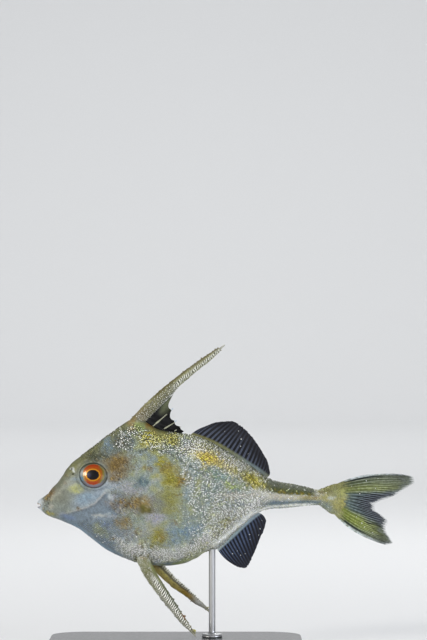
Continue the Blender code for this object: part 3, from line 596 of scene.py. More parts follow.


# Marks of the flank, listed one by one: station, height, half length, half height, tilt in degrees, tone and
# strength, and how thickly pigment specks lie there
blotches = [
    # nape, crest and the back behind it
    (28.2, 19.6, 4.6, 3.6, 35, "nape", 0.8, 0.2), (22.8, 18.4, 2, 2.4, -20, "steel", 0.8, 0.1),
    (20, 14.5, 5.2, 2, 8, "darkOlive", 0.95, 0.3), (24, 13.4, 1.1, 1.6, 10, "darkOlive", 0.5, 0.4),
    (31.2, 25.6, 2.2, 2.2, 20, "tan", 0.9, 0.2), (34.2, 24.4, 1.8, 1.6, 0, "green", 0.6, 0.1),
    (34.3, 28, 1.8, 2, 40, "lilac", 0.4, 0.1), (36.9, 25, 1.6, 1.5, -20, "dot", 0.8, 0.2),
    (39.4, 23.2, 1.8, 1.1, -20, "tan", 0.6, 0.1), (37.4, 20.2, 5, 3.6, -8, "yellow", 0.95, 0.2),
    (45, 20.2, 3, 1.9, 0, "yellow", 0.85, 0.1), (41.4, 19.2, 2, 2.2, 0, "olive", 0.5, 0.2),
    (34.4, 14.6, 3.4, 2.4, 0, "silver", 0.5), (50.4, 17.4, 4.2, 2, -12, "cream", 0.5),
    (57.4, 17.8, 2.6, 1.2, -30, "olive", 0.8, 0.2), (56.6, 14.3, 3, 2.3, -24, "gold", 0.95),
    (71, 6.6, 4, 2.2, -30, "moss", 0.9, 0.2), (65.6, 4.7, 4.6, 1.1, -4, "green", 0.7),
    (52, 9.4, 4.6, 3.6, 0, "silver", 0.6), (60, 8.6, 4.6, 2, -26, "sea", 0.5),
    (67, 3, 5, 0.8, 0, "sea", 0.5),
    # behind the eye and over the upper flank
    (26.8, 12.3, 5.2, 3.5, 8, "rust", 0.98, 0.6), (26.2, 7.9, 2.9, 2.5, 0, "rust", 0.9, 0.9),
    (23.4, 10.4, 1.5, 2, 0, "tan", 0.5, 0.3), (29.4, 9.2, 1.8, 1.5, 0, "tan", 0.5, 0.3),
    # the white streak behind the eye is a painted highlight
    (25.6, 7.6, 0.4, 0.35, 0, "dark", 0.8), (23, 5.6, 0.5, 1.4, -35, "white", 0.45),
    (31.6, 4, 4.4, 2, -4, "lilac", 0.8), (34.8, 6.2, 2.3, 1.8, 40, "teal", 1),
    (36.9, 11, 1.7, 1.3, 0, "rust", 0.75, 0.3), (43.8, 10.2, 3.2, 2.1, 10, "tan", 0.9, 0.3),
    (44.2, 4, 4.6, 9.5, 4, "paleYellow", 0.5), (41.6, 13, 2.4, 3, 20, "yellow", 0.9),
    (42.8, 10.6, 2.6, 1.9, 40, "rust", 0.6, 0.3), (43.8, 0.6, 3.6, 5.2, 8, "yellow", 0.75, 0.1),
    (41.4, 2.2, 2.4, 2.2, 0, "paleYellow", 0.5), (47.4, 7, 3, 3, -35, "orange", 0.95, 0.4),
    (46.7, 1.6, 0.7, 0.5, 0, "rust", 0.8), (44, 7.6, 3.4, 3.4, 0, "yellow", 1, 0.1),
    (43.8, 7.4, 1.8, 1.6, 0, "moss", 0.45, 0.1),
    # cheek, gill and pectoral region
    (38.6, -2, 3.6, 6.4, 0, "lilac", 0.5), (24.2, -2.2, 2.8, 2.6, 0, "blueGrey", 0.85),
    (29.6, -0.8, 6.2, 3.4, -6, "brown", 0.8, 0.9), (34, -0.2, 2.8, 2.8, 0, "tan", 0.9, 0.5),
    (28.5, -0.9, 0.45, 0.35, 0, "dark", 0.7), (30.9, -1, 0.45, 0.35, 0, "dark", 0.7),
    # the long white smear under the cheek line is a pale patch with a painted highlight, and the white streak
    # behind the cheek line on the next line is a painted highlight
    (29.2, -3.6, 1.3, 0.9, 60, "white", 0.45), (20.8, -5.2, 3.6, 0.6, 2, "white", 0.5),
    (24, 2.4, 0.5, 1.6, -25, "white", 0.5), (35.9, -1.6, 2.8, 3.4, 0, "tan", 0.95, 0.3),
    (36, -2.8, 2.6, 2.4, 0, "moss", 1, 0.1), (35.9, -3, 1.4, 1.4, 0, "darkOlive", 0.5),
    (28.9, -7.1, 3, 2.2, -20, "tan", 0.8, 0.7), (26.6, -8.2, 2.4, 1.2, -20, "tan", 0.35, 0.4),
    (39.5, -5.9, 3.2, 2.5, 0, "lilac", 0.9), (40.2, -12, 4, 3.8, 0, "yellow", 0.85, 0.2),
    (41.8, -11.9, 2, 1.8, 0, "orange", 0.6, 0.4), (38.8, -14.9, 1.7, 1.2, 10, "olive", 0.85, 0.4),
    (34, -15, 2.4, 0.9, 12, "brown", 0.5, 0.5), (45.3, -7, 1.6, 0.7, 5, "tan", 0.7, 0.3),
    (47.6, -11, 4.2, 3, -10, "steel", 0.85), (53.6, -9.4, 3.2, 2.6, 0, "steel", 0.5),
    (36, -9.4, 3.2, 1.8, 0, "cream", 0.35, 0.1), (31, -11.5, 4.5, 2.4, -8, "lilac", 0.4, 0.3),
    (33.6, -10.5, 1.2, 0.8, 0, "tan", 0.5, 0.9), (25.2, -12.3, 1.2, 0.9, 20, "tan", 0.5, 0.9),
    (21.4, -9.8, 3.6, 1.6, -30, "paleYellow", 0.5, 0.1),
    # belly and rear
    (38.4, -20.2, 2.2, 0.8, -4, "violet", 0.6), (43.6, -21.2, 3.4, 0.8, 0, "blueGrey", 0.9),
    (50, -18.9, 5.6, 1.5, 16, "green", 0.8, 0.1), (36, -18.6, 4, 1.6, 0, "cream", 0.6),
    (55.8, -14.4, 2.2, 1.3, 24, "yellow", 0.75, 0.1), (52.8, -16.8, 5.2, 2.8, 24, "husk", 0.95),
    (35.6, -20.4, 2.8, 2.2, 0, "olive", 0.95, 0.1), (34.9, -19.4, 0.8, 0.7, 0, "rust", 0.8),
    (63.6, -7.6, 2.4, 1.2, 40, "yellow", 0.6, 0.1), (60, -10, 4.6, 2.2, 42, "olive", 0.5, 0.1),
    (62, -5, 4, 2, 20, "cream", 0.4), (94.6, 2.6, 1.6, 1, 10, "brown", 0.7, 0.3),
    (97.4, 3.6, 4.2, 1.5, 4, "olive", 0.8, 0.2), (94.8, 3.6, 2.4, 0.9, 14, "olive", 0.8, 0.3),
    (96.4, 0.9, 3, 1.1, -2, "straw", 0.95), (97.8, 0.8, 1.6, 0.7, 0, "white", 0.8),
    (96.4, -2.2, 3.2, 2.2, -30, "silver", 0.85), (99.9, -1.6, 2.1, 2.1, 0, "straw", 0.95, 0.1),
    (93, 1.2, 0.9, 0.8, 0, "rust", 0.6), (100.4, 2.6, 1.4, 2.4, 0, "paleYellow", 0.6),
    # snout, lips and front of the cheek
    (4.2, 2.2, 2.7, 1.5, 52, "lipTan", 0.9, 0.5), (3.1, 1.2, 0.9, 0.6, 60, "orange", 0.4, 0.2),
    (4.4, -1.9, 1.3, 1.1, 0, "cream", 0.5, 0.2), (4.2, -4.4, 1.7, 0.9, -20, "yellow", 0.75, 0.2),
    (3.5, 0.6, 0.32, 0.6, -15, "darkOlive", 0.9), (3.6, -1, 0.24, 0.6, -10, "darkOlive", 0.8),
    (10.4, -5.5, 3.4, 1.1, -18, "violet", 0.75), (12.6, 3.9, 2.7, 1.5, 12, "paleYellow", 0.9),
    (16.4, 1, 3.8, 2, 12, "steel", 0.8), (12.6, 7.2, 1.9, 0.7, 0, "steel", 0.5),
    (13.8, -2.3, 0.35, 0.3, 0, "dark", 0.8), (13.8, -3.6, 0.35, 0.3, 0, "dark", 0.8),
    # the two white spots at the front nostril are painted glints
    (13.9, -2.9, 1.1, 0.9, 0, "tan", 0.6, 0.8), (11.9, 10.4, 0.55, 0.85, 10, "white", 1),
    (11.1, 10.6, 0.3, 0.5, -30, "white", 0.8), (9.7, 8.4, 0.6, 0.5, 0, "brown", 0.45, 0.4),
    (9.4, 5.8, 0.8, 0.55, -50, "brown", 0.4, 0.5), (15.2, 5.4, 2.6, 0.8, -38, "steel", 0.5),
]
# The golden band below the rear of the back, the dark line of the upper flank, and
# the pale row of beads along the lower edge, from the anal fin's front to the stalk
goldBand = [(51.5, 16.2), (56.8, 14.4), (61.8, 11.7), (66.6, 8.9), (71.2, 6.8), (75.6, 4.9)]
lateralLine = [(31.4, 15.9), (36.7, 17.1), (40, 16.9), (43.4, 16.1), (47, 13.9), (49.8, 11.9), (54.4, 9.6),
               (60, 6.6)]
beadRow = [(58.7, -14.9), (62.2, -12.2), (65.7, -9.2), (71.6, -4.3), (77.4, -2.2), (87.4, -1.5), (92, -1.3)]


# The fish's markings at places in space: bands that follow the back and the belly, then the blotches, whose
# edges wander with noise. Both flanks have them. The fourth value is how thickly the pigment specks lie.
def paint(points):
    s, _, h = np.moveaxis(points, -1, 0)
    below, above = depths(s, h)
    share = above / np.maximum(below + above, 0.1)
    wander, drift = ripple(points, 7.0, 11), ripple(points, 4.2, 15)
    fine, grain = ripple(points, 1.9, 12), ripple(points, 0.9, 16)
    edge = 0.8 * wander + 0.5 * fine
    # the bare head: grey-green on the snout, bluish silver on the cheek, darker blue under the cheek line
    head, cheekHeight = fall(s, 22, 35), curve(sorted(cheekLine), s)
    under = ease(cheekHeight - h + 0.25 * fine, -0.2, 1.0)
    throat = ease(2.0 - above + 0.3 * wander, 0, 2.0) * ease(s, 8, 14)
    colour = wash(np.zeros(points.shape) + linear("silver"),
                  ("paleYellow", 0.15 + 0.3 * drift), ("#8b9794", 0.2 - 0.5 * wander),
                  ("#7b817a", head * 0.85),
                  ("#929eaa", head * bell(h, cheekHeight + 2.4, 3.0) * ease(s, 9, 15) * 0.85),
                  ("#727f8a", head * under * ease(s, 5, 9) * 0.9),
                  ("#6f8698", throat * fall(s, 28, 36) * 0.8),
                  ("#6f705f", fall(s, 7, 13) * ease(h, -3.0, 1.0) * 0.7))
    # the back: olive along the ridge, with a brassy band
    # below it behind the crest, and two streaks to the stalk
    ridge = ease(6.5 - below + 1.3 * edge, 0, 5) * ease(s, 6, 12)
    far, where = lineDistance(s, h + 0.5 * fine, goldBand)
    strength = curve([(0, 0.3), (0.2, 1.0), (0.36, 0.5), (0.6, 0.3), (0.8, 1.0), (1, 0.9)], where)
    upper, _ = lineDistance(s, h, [(58, 1.6), (66, 1.8), (76, 2.2), (84, 1.9)])
    lower, _ = lineDistance(s, h, [(63, -2.4), (70, -1.5), (78, -0.6)])
    colour = wash(colour, ("olive", ridge * (0.85 - 0.35 * ease(s, 42, 48))),
                  ("#6d7a76", 0.6 * bell(below, 5.0, 3.2) * span(s, 18, 24, 34, 40)),
                  ("cream", 0.4 * bell(far, 2.6, 1.5) * (h > curve(goldBand, s)) * ease(s, 48, 54)),
                  ("gold", strength * bell(far, 0, 1.7) * fall(s, 64, 70)),
                  ("yellow", strength * bell(far, 0, 1.9) * ease(s, 63, 69)),
                  ("cream", 0.8 * bell(upper + 0.2 * fine, 0, 1.4) * ease(s, 57, 66)),
                  ("blueGrey", 0.85 * bell(lower + 0.2 * fine, 0, 1.4)),
                  ("darkOlive", 0.6 * ease(1.1 - below, 0, 1.0) * ease(s, 6, 12)))
    # the belly: a bright silver band above a dull rim
    colour = wash(colour, ("#e4e7dd", 0.85 * bell(above, 3.8 + edge, 2.6) * ease(s, 24, 31)),
                  ("#a9ada0", 0.6 * ease(s, 52, 62) * fall(h, -4, 3)),
                  ("olive", 0.5 * ease(1.4 - above + 0.4 * fine, 0, 1.2) * span(s, 30, 36, 57, 60)))
    # the stalk: grey along its top, dark olive with golden spots, cream at the middle, grey-blue below
    stalk = ease(s, 73, 79)
    top = stalk * ease(share + 0.03 * fine, 0.52, 0.6) * fall(s, 91, 94)
    cream = stalk * span(share, 0.26, 0.36, 0.5, 0.58)
    beads, _ = lineDistance(s, h, beadRow)
    colour = wash(colour, ("#434a27", 0.97 * top), ("#5f6356", 0.9 * top * ease(share, 0.72, 0.84)),
                  ("#7c6d28", 0.7 * top * bell(share, 0.64, 0.07) * ease(fine, -0.2, 0.5)),
                  ("#b9b6a8", 0.85 * cream * fall(s, 84, 90)),
                  ("#968d64", 0.9 * cream * ease(s, 84, 90) * (1 - 0.5 * ease(s, 92, 95))),
                  ("#5f6f78", 0.9 * stalk * bell(share, 0.2, 0.12)), ("#8f8d62", 0.8 * ease(s, 92.5, 97)),
                  ("#f4f6f0",
                   bell(beads, 0, 0.75 - 0.3 * ease(s, 70, 78)) * fall(s, 90, 93) * (0.85 + 0.3 * grain)))
    # pale lumps on the smooth middle of the flank
    lumps = ease(ripple(points, 3.4, 17) + 0.5 * ripple(points, 1.5, 26), 0.25, 1.4)
    colour = wash(colour, ("#b9bbc2", 0.5 * lumps * span(s, 21, 26, 44, 50) * bell(h, 1, 12)))
    # blotches: the places are first moved about by noise of two sizes, so no edge is an even ellipse
    specks = np.zeros_like(s)
    loose = (0.25 + 0.75 * ease(s, 8, 22)) * (1 - 0.6 * ease(s, 88, 94))
    ds = s + loose * (0.7 * drift + 0.35 * fine + 0.2 * grain)
    dh = h + loose * (0.7 * ripple(points, 4.6, 13) + 0.35 * ripple(points, 1.8, 14))
    broken = 0.9 + 0.22 * ripple(points, 1.1, 19)
    for bs, bh, long, tall, tilt, tone, strength, *speckle in blotches:
        amount = fall(ellipse(ds, dh, (bs, bh), (long, tall), tilt) + 0.08 * grain, 0.15, 1.4)
        colour = wash(colour, (tone, strength * amount * (broken if strength < 0.97 else 1)))
        specks = np.maximum(specks, sum(speckle) * amount)
    # painted light and shade follow the cheek's muscle lines, and a fine grain varies the tone everywhere
    colour = colour * (1 + 0.06 * cheekMuscles(points, 26) + 0.07 * fine + 0.06 * grain)[..., None]
    # fine lines: the dark one of the upper flank, the snout's pale tip, a pale line on the cheek's fold with
    # a painted shadow under it, and a painted highlight on the lower fold
    far, where = lineDistance(s, h + 0.2 * fine, lateralLine)
    lip = fall(s + 0.25 * fine, 0.9, 2.3)
    specks = np.maximum(specks, 0.6 * bell(s, 3.0, 1.6) * (1 - lip))
    cheek, along = lineDistance(s, h + 0.15 * fine, cheekLine)
    sharp = fall(along, 0.45, 0.95)
    jaw, _ = lineDistance(s, h, lowerCheekLine)
    colour = wash(colour, ("#343c31", 0.85 * bell(far, 0, 0.28) * span(where, 0, 0.1, 0.7, 1)),
                  ("#bfc6cc", 0.9 * lip),
                  ("#566068", 0.5 * sharp * bell(cheek, 0.6, 0.5) * (h < cheekHeight)),
                  ("#b3afad", (0.15 + 0.4 * sharp) * bell(cheek, 0, 0.24)),
                  ("#b5b2a6", 0.45 * bell(jaw, 0, 0.25)))
    # brown patches are made of golden and dark grains; and the
    # flank's colours are purer than the mixing leaves them
    colour = wash(colour, ("#a38c55", 0.75 * specks * ease(ripple(points, 1.4, 24), 0.4, 1.3)),
                  ("#3b3024", 0.8 * specks * ease(ripple(points, 1.1, 25), 0.7, 1.5)))
    colour = colour * (1 + 0.3 * specks * grain)[..., None]
    plain = colour.mean(-1, keepdims=True)
    colour = plain + (colour - plain) * (1.1 + 0.12 * ease(s, 20, 30))[..., None]
    return np.concatenate([np.clip(colour, 0.004, 1), specks[..., None]], -1)


# How strongly painted shade in the gaps and painted highlights on the ridges alternate from scale to scale,
# from 0 to 1: most on the nape, along the back and in a belt above the belly, least in the middle of the
# flank
def paintedSparkle(points):
    s, _, h = np.moveaxis(points, -1, 0)
    below, above = depths(s, h)
    wander = ripple(points, 5.0, 23)
    beads, _ = lineDistance(s, h, beadRow)
    strongest = np.maximum.reduce([
        fall(below + 1.2 * wander, 5.0, 9.0) * (0.3 * ease(s, 17, 22) + 0.7 * ease(s, 27, 32)),
        0.7 * fall(np.hypot(s - 29.4, h - 20.8) + wander, 2.6, 5.4),
        fall(above + 1.2 * wander, 4.6, 8.0) * (0.35 * ease(s, 14, 20) + 0.65 * ease(s, 24, 30)),
        0.2 + 0.55 * ease(s + 0.2 * h + 1.5 * wander, 44, 58) + 0.06 * wander])
    return np.clip(strongest, 0.2, 1) * (1 - 0.55 * ease(s, 74, 80)) * (1 - 0.8 * bell(beads, 0, 0.9))


# How strongly the scales stand out, from 0 on the bare snout and cheek, over fine ones behind it, to 1
scaleArea = {
    "upperLimit": [(12, 17), (14.5, 14.6), (17, 13.6), (20, 13.1), (24, 13.3), (28, 14.6), (32, 14.4),
                   (36, 11.8), (41, 9.6), (46, 3.5), (48, 0)],
    "lowerLimit": [(10, -7.5), (13, -6.2), (17, -6.6), (22, -6.3), (27, -5.8), (31, -5.8), (34, -9.2),
                   (38, -10.5), (42, -8.5), (46, -3.5), (48, 0)],
    "crest": [(29.6, 26.4), (33.2, 27.4), (37.6, 25.4), (41, 24.0)],
}


def scaleStrength(points):
    s, _, h = np.moveaxis(points, -1, 0)
    above = depths(s, h)[1]
    wander = 0.7 * ripple(points, 4.0, 21)
    far, _ = lineDistance(s, h, gillSlit)
    crest, _ = lineDistance(s, h, scaleArea["crest"])
    strength = np.maximum.reduce([
        ease(h - curve(scaleArea["upperLimit"], s) + wander, -0.6, 1.4),
        ease(curve(scaleArea["lowerLimit"], s) - h + wander, -0.6, 1.4),
        ease(s + 0.12 * h + wander, 47, 51), 0.5 * ease(s + wander, 22, 30)])
    # none before the cheek, on the chin, round the eye, in
    # the gill slit, on the fin's pad and crest, or on the rim
    strength = strength * ease(s + 0.3 * wander, 11.5, 15) * (1 - fall(above, 0.9, 2.0) * fall(s, 24, 30))
    strength = strength * ease(ellipse(s, h, *eye["oval"]), 1.25, 1.4) * ease(far, 0.3, 0.6)
    strength = strength * ease(ellipse(s, h, *finPad["oval"]), 0.8, 1.0)
    strength = strength * ease(crest + 0.6 * wander, 1.2, 3.2)
    rim = fall(above + 0.3 * wander, 0.5, 1.8) * span(s, 34, 38, 53, 58)
    return strength * (1 - rim) * (1 - 0.3 * ease(s, 73, 78)) * (1 - 0.6 * ease(s, 96, 101))


# Scales: steps along and across the flank, and one bead's rings. The gaps and rims hold painted shade, darker
# than the paint, and the ridges a painted highlight, lighter, so that together they keep its mean; some
# ridges, the given share at most, carry a painted glint in a paler tone.
scales = {"alongPitch": 0.45, "acrossPitch": 0.74, "first": 11.0, "last": 100.8, "jitter": 0.13, "pieces": 7,
          "rings": [(1.04, 1.0, -0.12, 0.0), (0.78, 0.76, 0.24, 0.03), (0.36, 0.38, 0.46, 0.08)], "sides": 6,
          "gapShade": 0.68, "ridgeHighlight": 1.8, "flashShare": 0.55, "flashTone": "#fbfcf8"}


def makeSkin():
    rings, a, stations = skinGrid()
    rings[..., 1] *= 1 - 0.85 * ease(rings[..., 0], 96.5, body["end"])
    normal = gridNormals(rings)
    outward = np.sign((normal[..., 1] * rings[..., 1]).sum())
    s, y, h = np.moveaxis(rings, -1, 0)
    relief, creaseShade, q = skinRelief(rings)
    side, flank = np.sign(y), ease(np.abs(y), 0.5, 2)
    # round the eye the head is drawn to the eye's plane,
    # and inside the eye's edge it drops behind the eyeball
    (eyeS, eyeH), _, _ = eye["oval"]
    plane = planeTerms[0] + planeTerms[1] * (s - eyeS) + planeTerms[2] * (h - eyeH)
    y = y + (side * plane - y) * fall(q, 1.05, 1.5) * flank * 0.9
    y = y - side * eye["socketDepth"] * fall(q, 0.9, 1.04) * ease(np.abs(y), 0.5, 2)
    placed = np.stack([s, y, h], -1) + normal * outward * relief[..., None]
    marks = paint(rings)
    # painted shade: darker in the gaps between the scales, most where they alternate most, and in the creases
    shade = (1 - scales["gapShade"] * scaleStrength(rings) * paintedSparkle(rings)) * (1 - 0.75 * creaseShade)
    # painted shade: the mouth darkens inwards
    inside = np.zeros(len(rings))
    inside[:len(mouth["rows"])] = fall(np.arange(len(mouth["rows"])), 2.0, 5.5)
    marks[..., :3] = wash(marks[..., :3] * shade[..., None],
                          ("#2a1712", inside[:, None] + np.zeros_like(shade)))
    addTube("skin", placed, skinMaterial, marks=marks, slot="skin", replaced=("head", "trunk", "tail_stalk"))
    return placed, gridNormals(placed) * outward, a, stations


# Reads a closed grid between its points by weights of the four nearest
def readGrid(grid, row, column):
    i = np.clip(np.floor(row).astype(int), 0, len(grid) - 2)
    j = np.floor(column).astype(int)
    t, u = (row - i)[:, None], (column - j)[:, None]
    j, k = j % grid.shape[1], (j + 1) % grid.shape[1]
    return ((grid[i, j] * (1 - u) + grid[i, k] * u) * (1 - t)
            + (grid[i + 1, j] * (1 - u) + grid[i + 1, k] * u) * t)


skinPoints, skinNormals, skinAngles, skinStations = makeSkin()
print("skin made:", skinPoints.shape)


# The column of the skin's grid at an angle round the body
def skinColumn(angle):
    wrapped = np.concatenate([skinAngles, [2 * math.pi]])
    return np.interp(angle % (2 * math.pi), wrapped, np.arange(len(wrapped)))


# Roots of the scales: columns down the fish, and in each column equal steps of
# arc length up and down from the line where the flank is widest, with every
# other column half a step off. The columns bend back towards back and belly.
def scaleRoots():
    draw = np.random.default_rng(31)
    places = []
    for n, station in enumerate(np.arange(scales["first"], scales["last"], scales["alongPitch"])):
        a = np.linspace(-math.pi / 2, math.pi / 2, 241)
        ring = section(np.full_like(a, station), a)
        arc = np.concatenate([[0], np.cumsum(np.linalg.norm(np.diff(ring, axis=0), axis=1))])
        arc -= np.interp(0, a, arc)
        steps = np.arange(math.ceil(arc[0] / scales["acrossPitch"]),
                          arc[-1] / scales["acrossPitch"]) + 0.5 * (n % 2)
        at = steps * scales["acrossPitch"]
        at = at[(at > arc[0] + 0.3) & (at < arc[-1] - 0.3)]
        angle = np.interp(at, arc, a)
        places.append(np.stack([np.full(2 * len(at), station), np.concatenate([angle, math.pi - angle])], 1))
    s, a = np.concatenate(places).T
    points = section(s, a)
    s = s + 2.0 * ((points[:, 2] - 1) / 22) ** 2 + 0.4 * ripple(points, 15.0, 32)
    s = np.clip(s + draw.normal(size=len(s)) * scales["jitter"], 1, body["end"] - 0.3)
    a = a + draw.normal(size=len(a)) * scales["jitter"] / 18
    row = len(mouth["rows"]) + np.interp(s, skinStations, np.arange(len(skinStations)))
    return s, a, row, skinColumn(a)


def makeScales():
    s, a, row, column = scaleRoots()
    base = section(s, a)
    strength = scaleStrength(base)
    keep = strength > 0.12
    s, a, row, column, base, strength = (v[keep] for v in (s, a, row, column, base, strength))
    roots, outward = readGrid(skinPoints, row, column), readGrid(skinNormals, row, column)
    colour = paint(base)
    draw = np.random.default_rng(33)
    contrast = paintedSparkle(base) * strength
    # from scale to scale the tone leans a little to yellow or to blue, and the brightness varies
    lean = draw.normal(size=(len(s), 1)) * [0.04, 0.02, -0.08]
    lean = lean + draw.normal(size=(len(s), 1)) * (0.06 + 0.14 * contrast[:, None])
    own = np.clip(colour[:, :3] * np.exp(lean), 0, 1)
    # a painted glint is white on grey skin, and keeps the hue of vivid paint
    vivid = ease(1 - colour[:, :3].min(1) / colour[:, :3].max(1), 0.35, 0.8)[:, None]
    pale = linear(scales["flashTone"]) * (1 - 0.8 * vivid) + own / own.max(1, keepdims=True) * 0.8 * vivid
    chance = scales["flashShare"] * ease(contrast, 0.2, 0.7)
    flash = (draw.random(len(s)) < chance) * draw.uniform(0.4, 1, len(s))
    size = scales["acrossPitch"] * 0.5 * (0.62 + 0.36 * strength) * draw.uniform(0.82, 1.16, len(s))
    patches = np.stack([row / (len(skinPoints) - 1), column / skin["around"]], 1)
    shape = beadShape(scales["sides"], scales["rings"])
    backward = [1.0, 0, 0] + outward * 0.1
    order = np.argsort(s, kind="stable")
    for n, part in enumerate(np.array_split(order, scales["pieces"])):

        # painted shade makes the rim of a scale as dark as the gaps, and a painted highlight makes its ridge
        # pale
        def tonesOf(rise, count, part=part):
            up, k = rise[None, :, None] ** 3, contrast[part, None, None]
            made = own[part, None] * (1 - scales["gapShade"] * k + scales["ridgeHighlight"] * k * up)
            made = np.clip(made + (pale[part, None] - made) * flash[part, None, None] * up, 0, 1)
            return np.concatenate([made, np.repeat(colour[part, None, 3:], len(rise), 1)], -1)

        addBeads(f"scales_{n + 1}", shape, roots[part] - outward[part] * 0.02, backward[part], outward[part],
                 size[part], scaleMaterial, tonesOf, patches=patches[part], seed=40 + n, sway=9, lean=7,
                 slot="skin")
    print("scales made:", len(s))


makeScales()

# The eyeball: middle and half sizes of the pupil and of the
# iris, the heights of its front and back, and its grid
eyeLook = {"pupil": ((0.0, 0.05), (2.06, 1.66)), "iris": ((0.12, 0.2), (3.66, 3.45)), "oversize": 1.01,
           "lens": ((-0.18, 0), (2.04, 1.62)), "dome": 1.15, "back": 2.4, "sunk": 0.42, "rings": 110,
           "around": 180}


# The iris: distances from the pupil and from the iris's
# edge choose the ring, and the angle tells red from gold
def eyeColours(x, z):
    angle = np.arctan2(z - 0.1, x)
    c, n = np.cos(angle), np.sin(angle)
    ragged = 0.02 * ripple(np.stack([3 * c, 3 * n, 0 * x], -1), 0.9, 51)
    fibre = 0.5 + 0.5 * np.sin(angle * 90 + 3 * ripple(np.stack([x, 0 * x, z], -1), 1.2, 52))
    p, i = ellipse(x, z, *eyeLook["pupil"]) + ragged, ellipse(x, z, *eyeLook["iris"]) + ragged
    upright, front, rear = np.abs(n) ** 1.3, ease(-c, 0.45, 0.95), ease(c, 0.35, 0.9)
    ground = np.zeros((*x.shape, 3))
    # the pale crescent at the front of the ring round the iris is a painted highlight, and its darker olive
    # top is painted shade
    white = wash(ground + linear("#5f6257"), ("#a9aeac", front * bell(n, 0.1, 0.4)),
                 ("#5f7f96", front * bell(n, -0.3, 0.22)), ("#76727d", ease(-n, 0.4, 0.9)),
                 ("#7d775c", rear * ease(n, -0.1, 0.4)), ("#4f5640", 0.8 * ease(n, 0.6, 0.95)))
    # the cream towards the front of the iris's outer part is a painted highlight
    iris = wash(ground + linear("#a35f14"), ("#b04a0c", upright * ease(p, 1.1, 1.5)),
                ("#a3340c", upright * ease(i, 0.7, 0.9)), ("#77702e", rear * ease(i, 0.72, 0.95)),
                ("#a59c68", front * ease(i, 0.76, 0.95) * bell(n, -0.25, 0.5)),
                ("#dd9a1c", bell(p, 1.13, 0.09)), ("#3a1a08", 0.3 * fibre * ease(p, 1.05, 1.2)),
                ("#8f8a45", 0.5 * bell(i, 1.0, 0.035)))
    inIris, inPupil = fall(i, 0.97, 1.02), fall(p, 0.97, 1.02)
    colour = wash(white + (iris - white) * inIris[..., None], ("#0b0b10", inPupil),
                  ("#22224a", 0.6 * fall(np.hypot(x + 1.3, z + 0.1), 0.3, 1.0) * (p < 1)))
    return np.concatenate([colour, (0.12 * inIris * (1 - inPupil))[..., None]], -1)


# An eyeball on the eye's plane: its front is a dome of height d·sqrt(1 - q²)
# with a low bulge over the lens, and its back a deeper half ellipsoid; q runs
# from the middle of the front to the edge and on to the middle of the back
def makeEye(name, side, node):
    at, size, tilt = eye["oval"]
    half = eyeLook["rings"] // 2
    q = np.concatenate([np.sin(np.linspace(0.012, 1, half) * math.pi / 2),
                        np.sin(np.linspace(1, 0.02, eyeLook["rings"] - half) * math.pi / 2)[1:]])
    isFront = (np.arange(len(q)) < half)[:, None]
    around, turn = turns(eyeLook["around"]), math.radians(tilt)
    x, z = (reach * eyeLook["oversize"] * q[:, None] * wave
            for reach, wave in zip(size, (np.cos(around), np.sin(around))))
    x, z = x * math.cos(turn) - z * math.sin(turn), x * math.sin(turn) + z * math.cos(turn)
    bulge = np.sqrt(np.clip(1 - q**2, 0, 1))[:, None]
    lens = 0.04 * bell(ellipse(x, z, *eyeLook["lens"]), 0, 0.75)
    out = np.where(isFront, eyeLook["dome"] * bulge + lens, -eyeLook["back"] * bulge)
    normal = np.array([-planeTerms[1], 1.0, -planeTerms[2]])
    normal /= np.linalg.norm(normal)
    y = planeTerms[0] + planeTerms[1] * x + planeTerms[2] * z - eyeLook["sunk"]
    points = np.stack([at[0] + x, y, at[1] + z], -1) + out[..., None] * normal
    addTube(name, points * [1, side, 1], eyeMaterial, marks=eyeColours(x, z), slot="eye", replaced=(node,))


makeEye("eyeball_left", -1, "eye_left")
makeEye("eyeball_right", 1, "eye_right")
print("eyes made")

# The lips' knobs, their tones and sizes, and one row of chisel teeth: the row's place, pitch and lean
lips = {"knobs": 24, "row": -4, "spread": 0.42, "tones": ("#b9b5b0", "#a3937a", "#c2c0bd", "#9d9a9c"),
        "knobSize": (0.1, 0.2), "teeth": 4, "toothSize": 0.16, "enamel": "#e6e0cc",
        "rows": [(0.8, 0.46, -1.3, (-0.35, 0, -1.0)), (1.0, 0.42, -2.2, (-0.3, 0, 1.0))], "archDepth": 0.12}


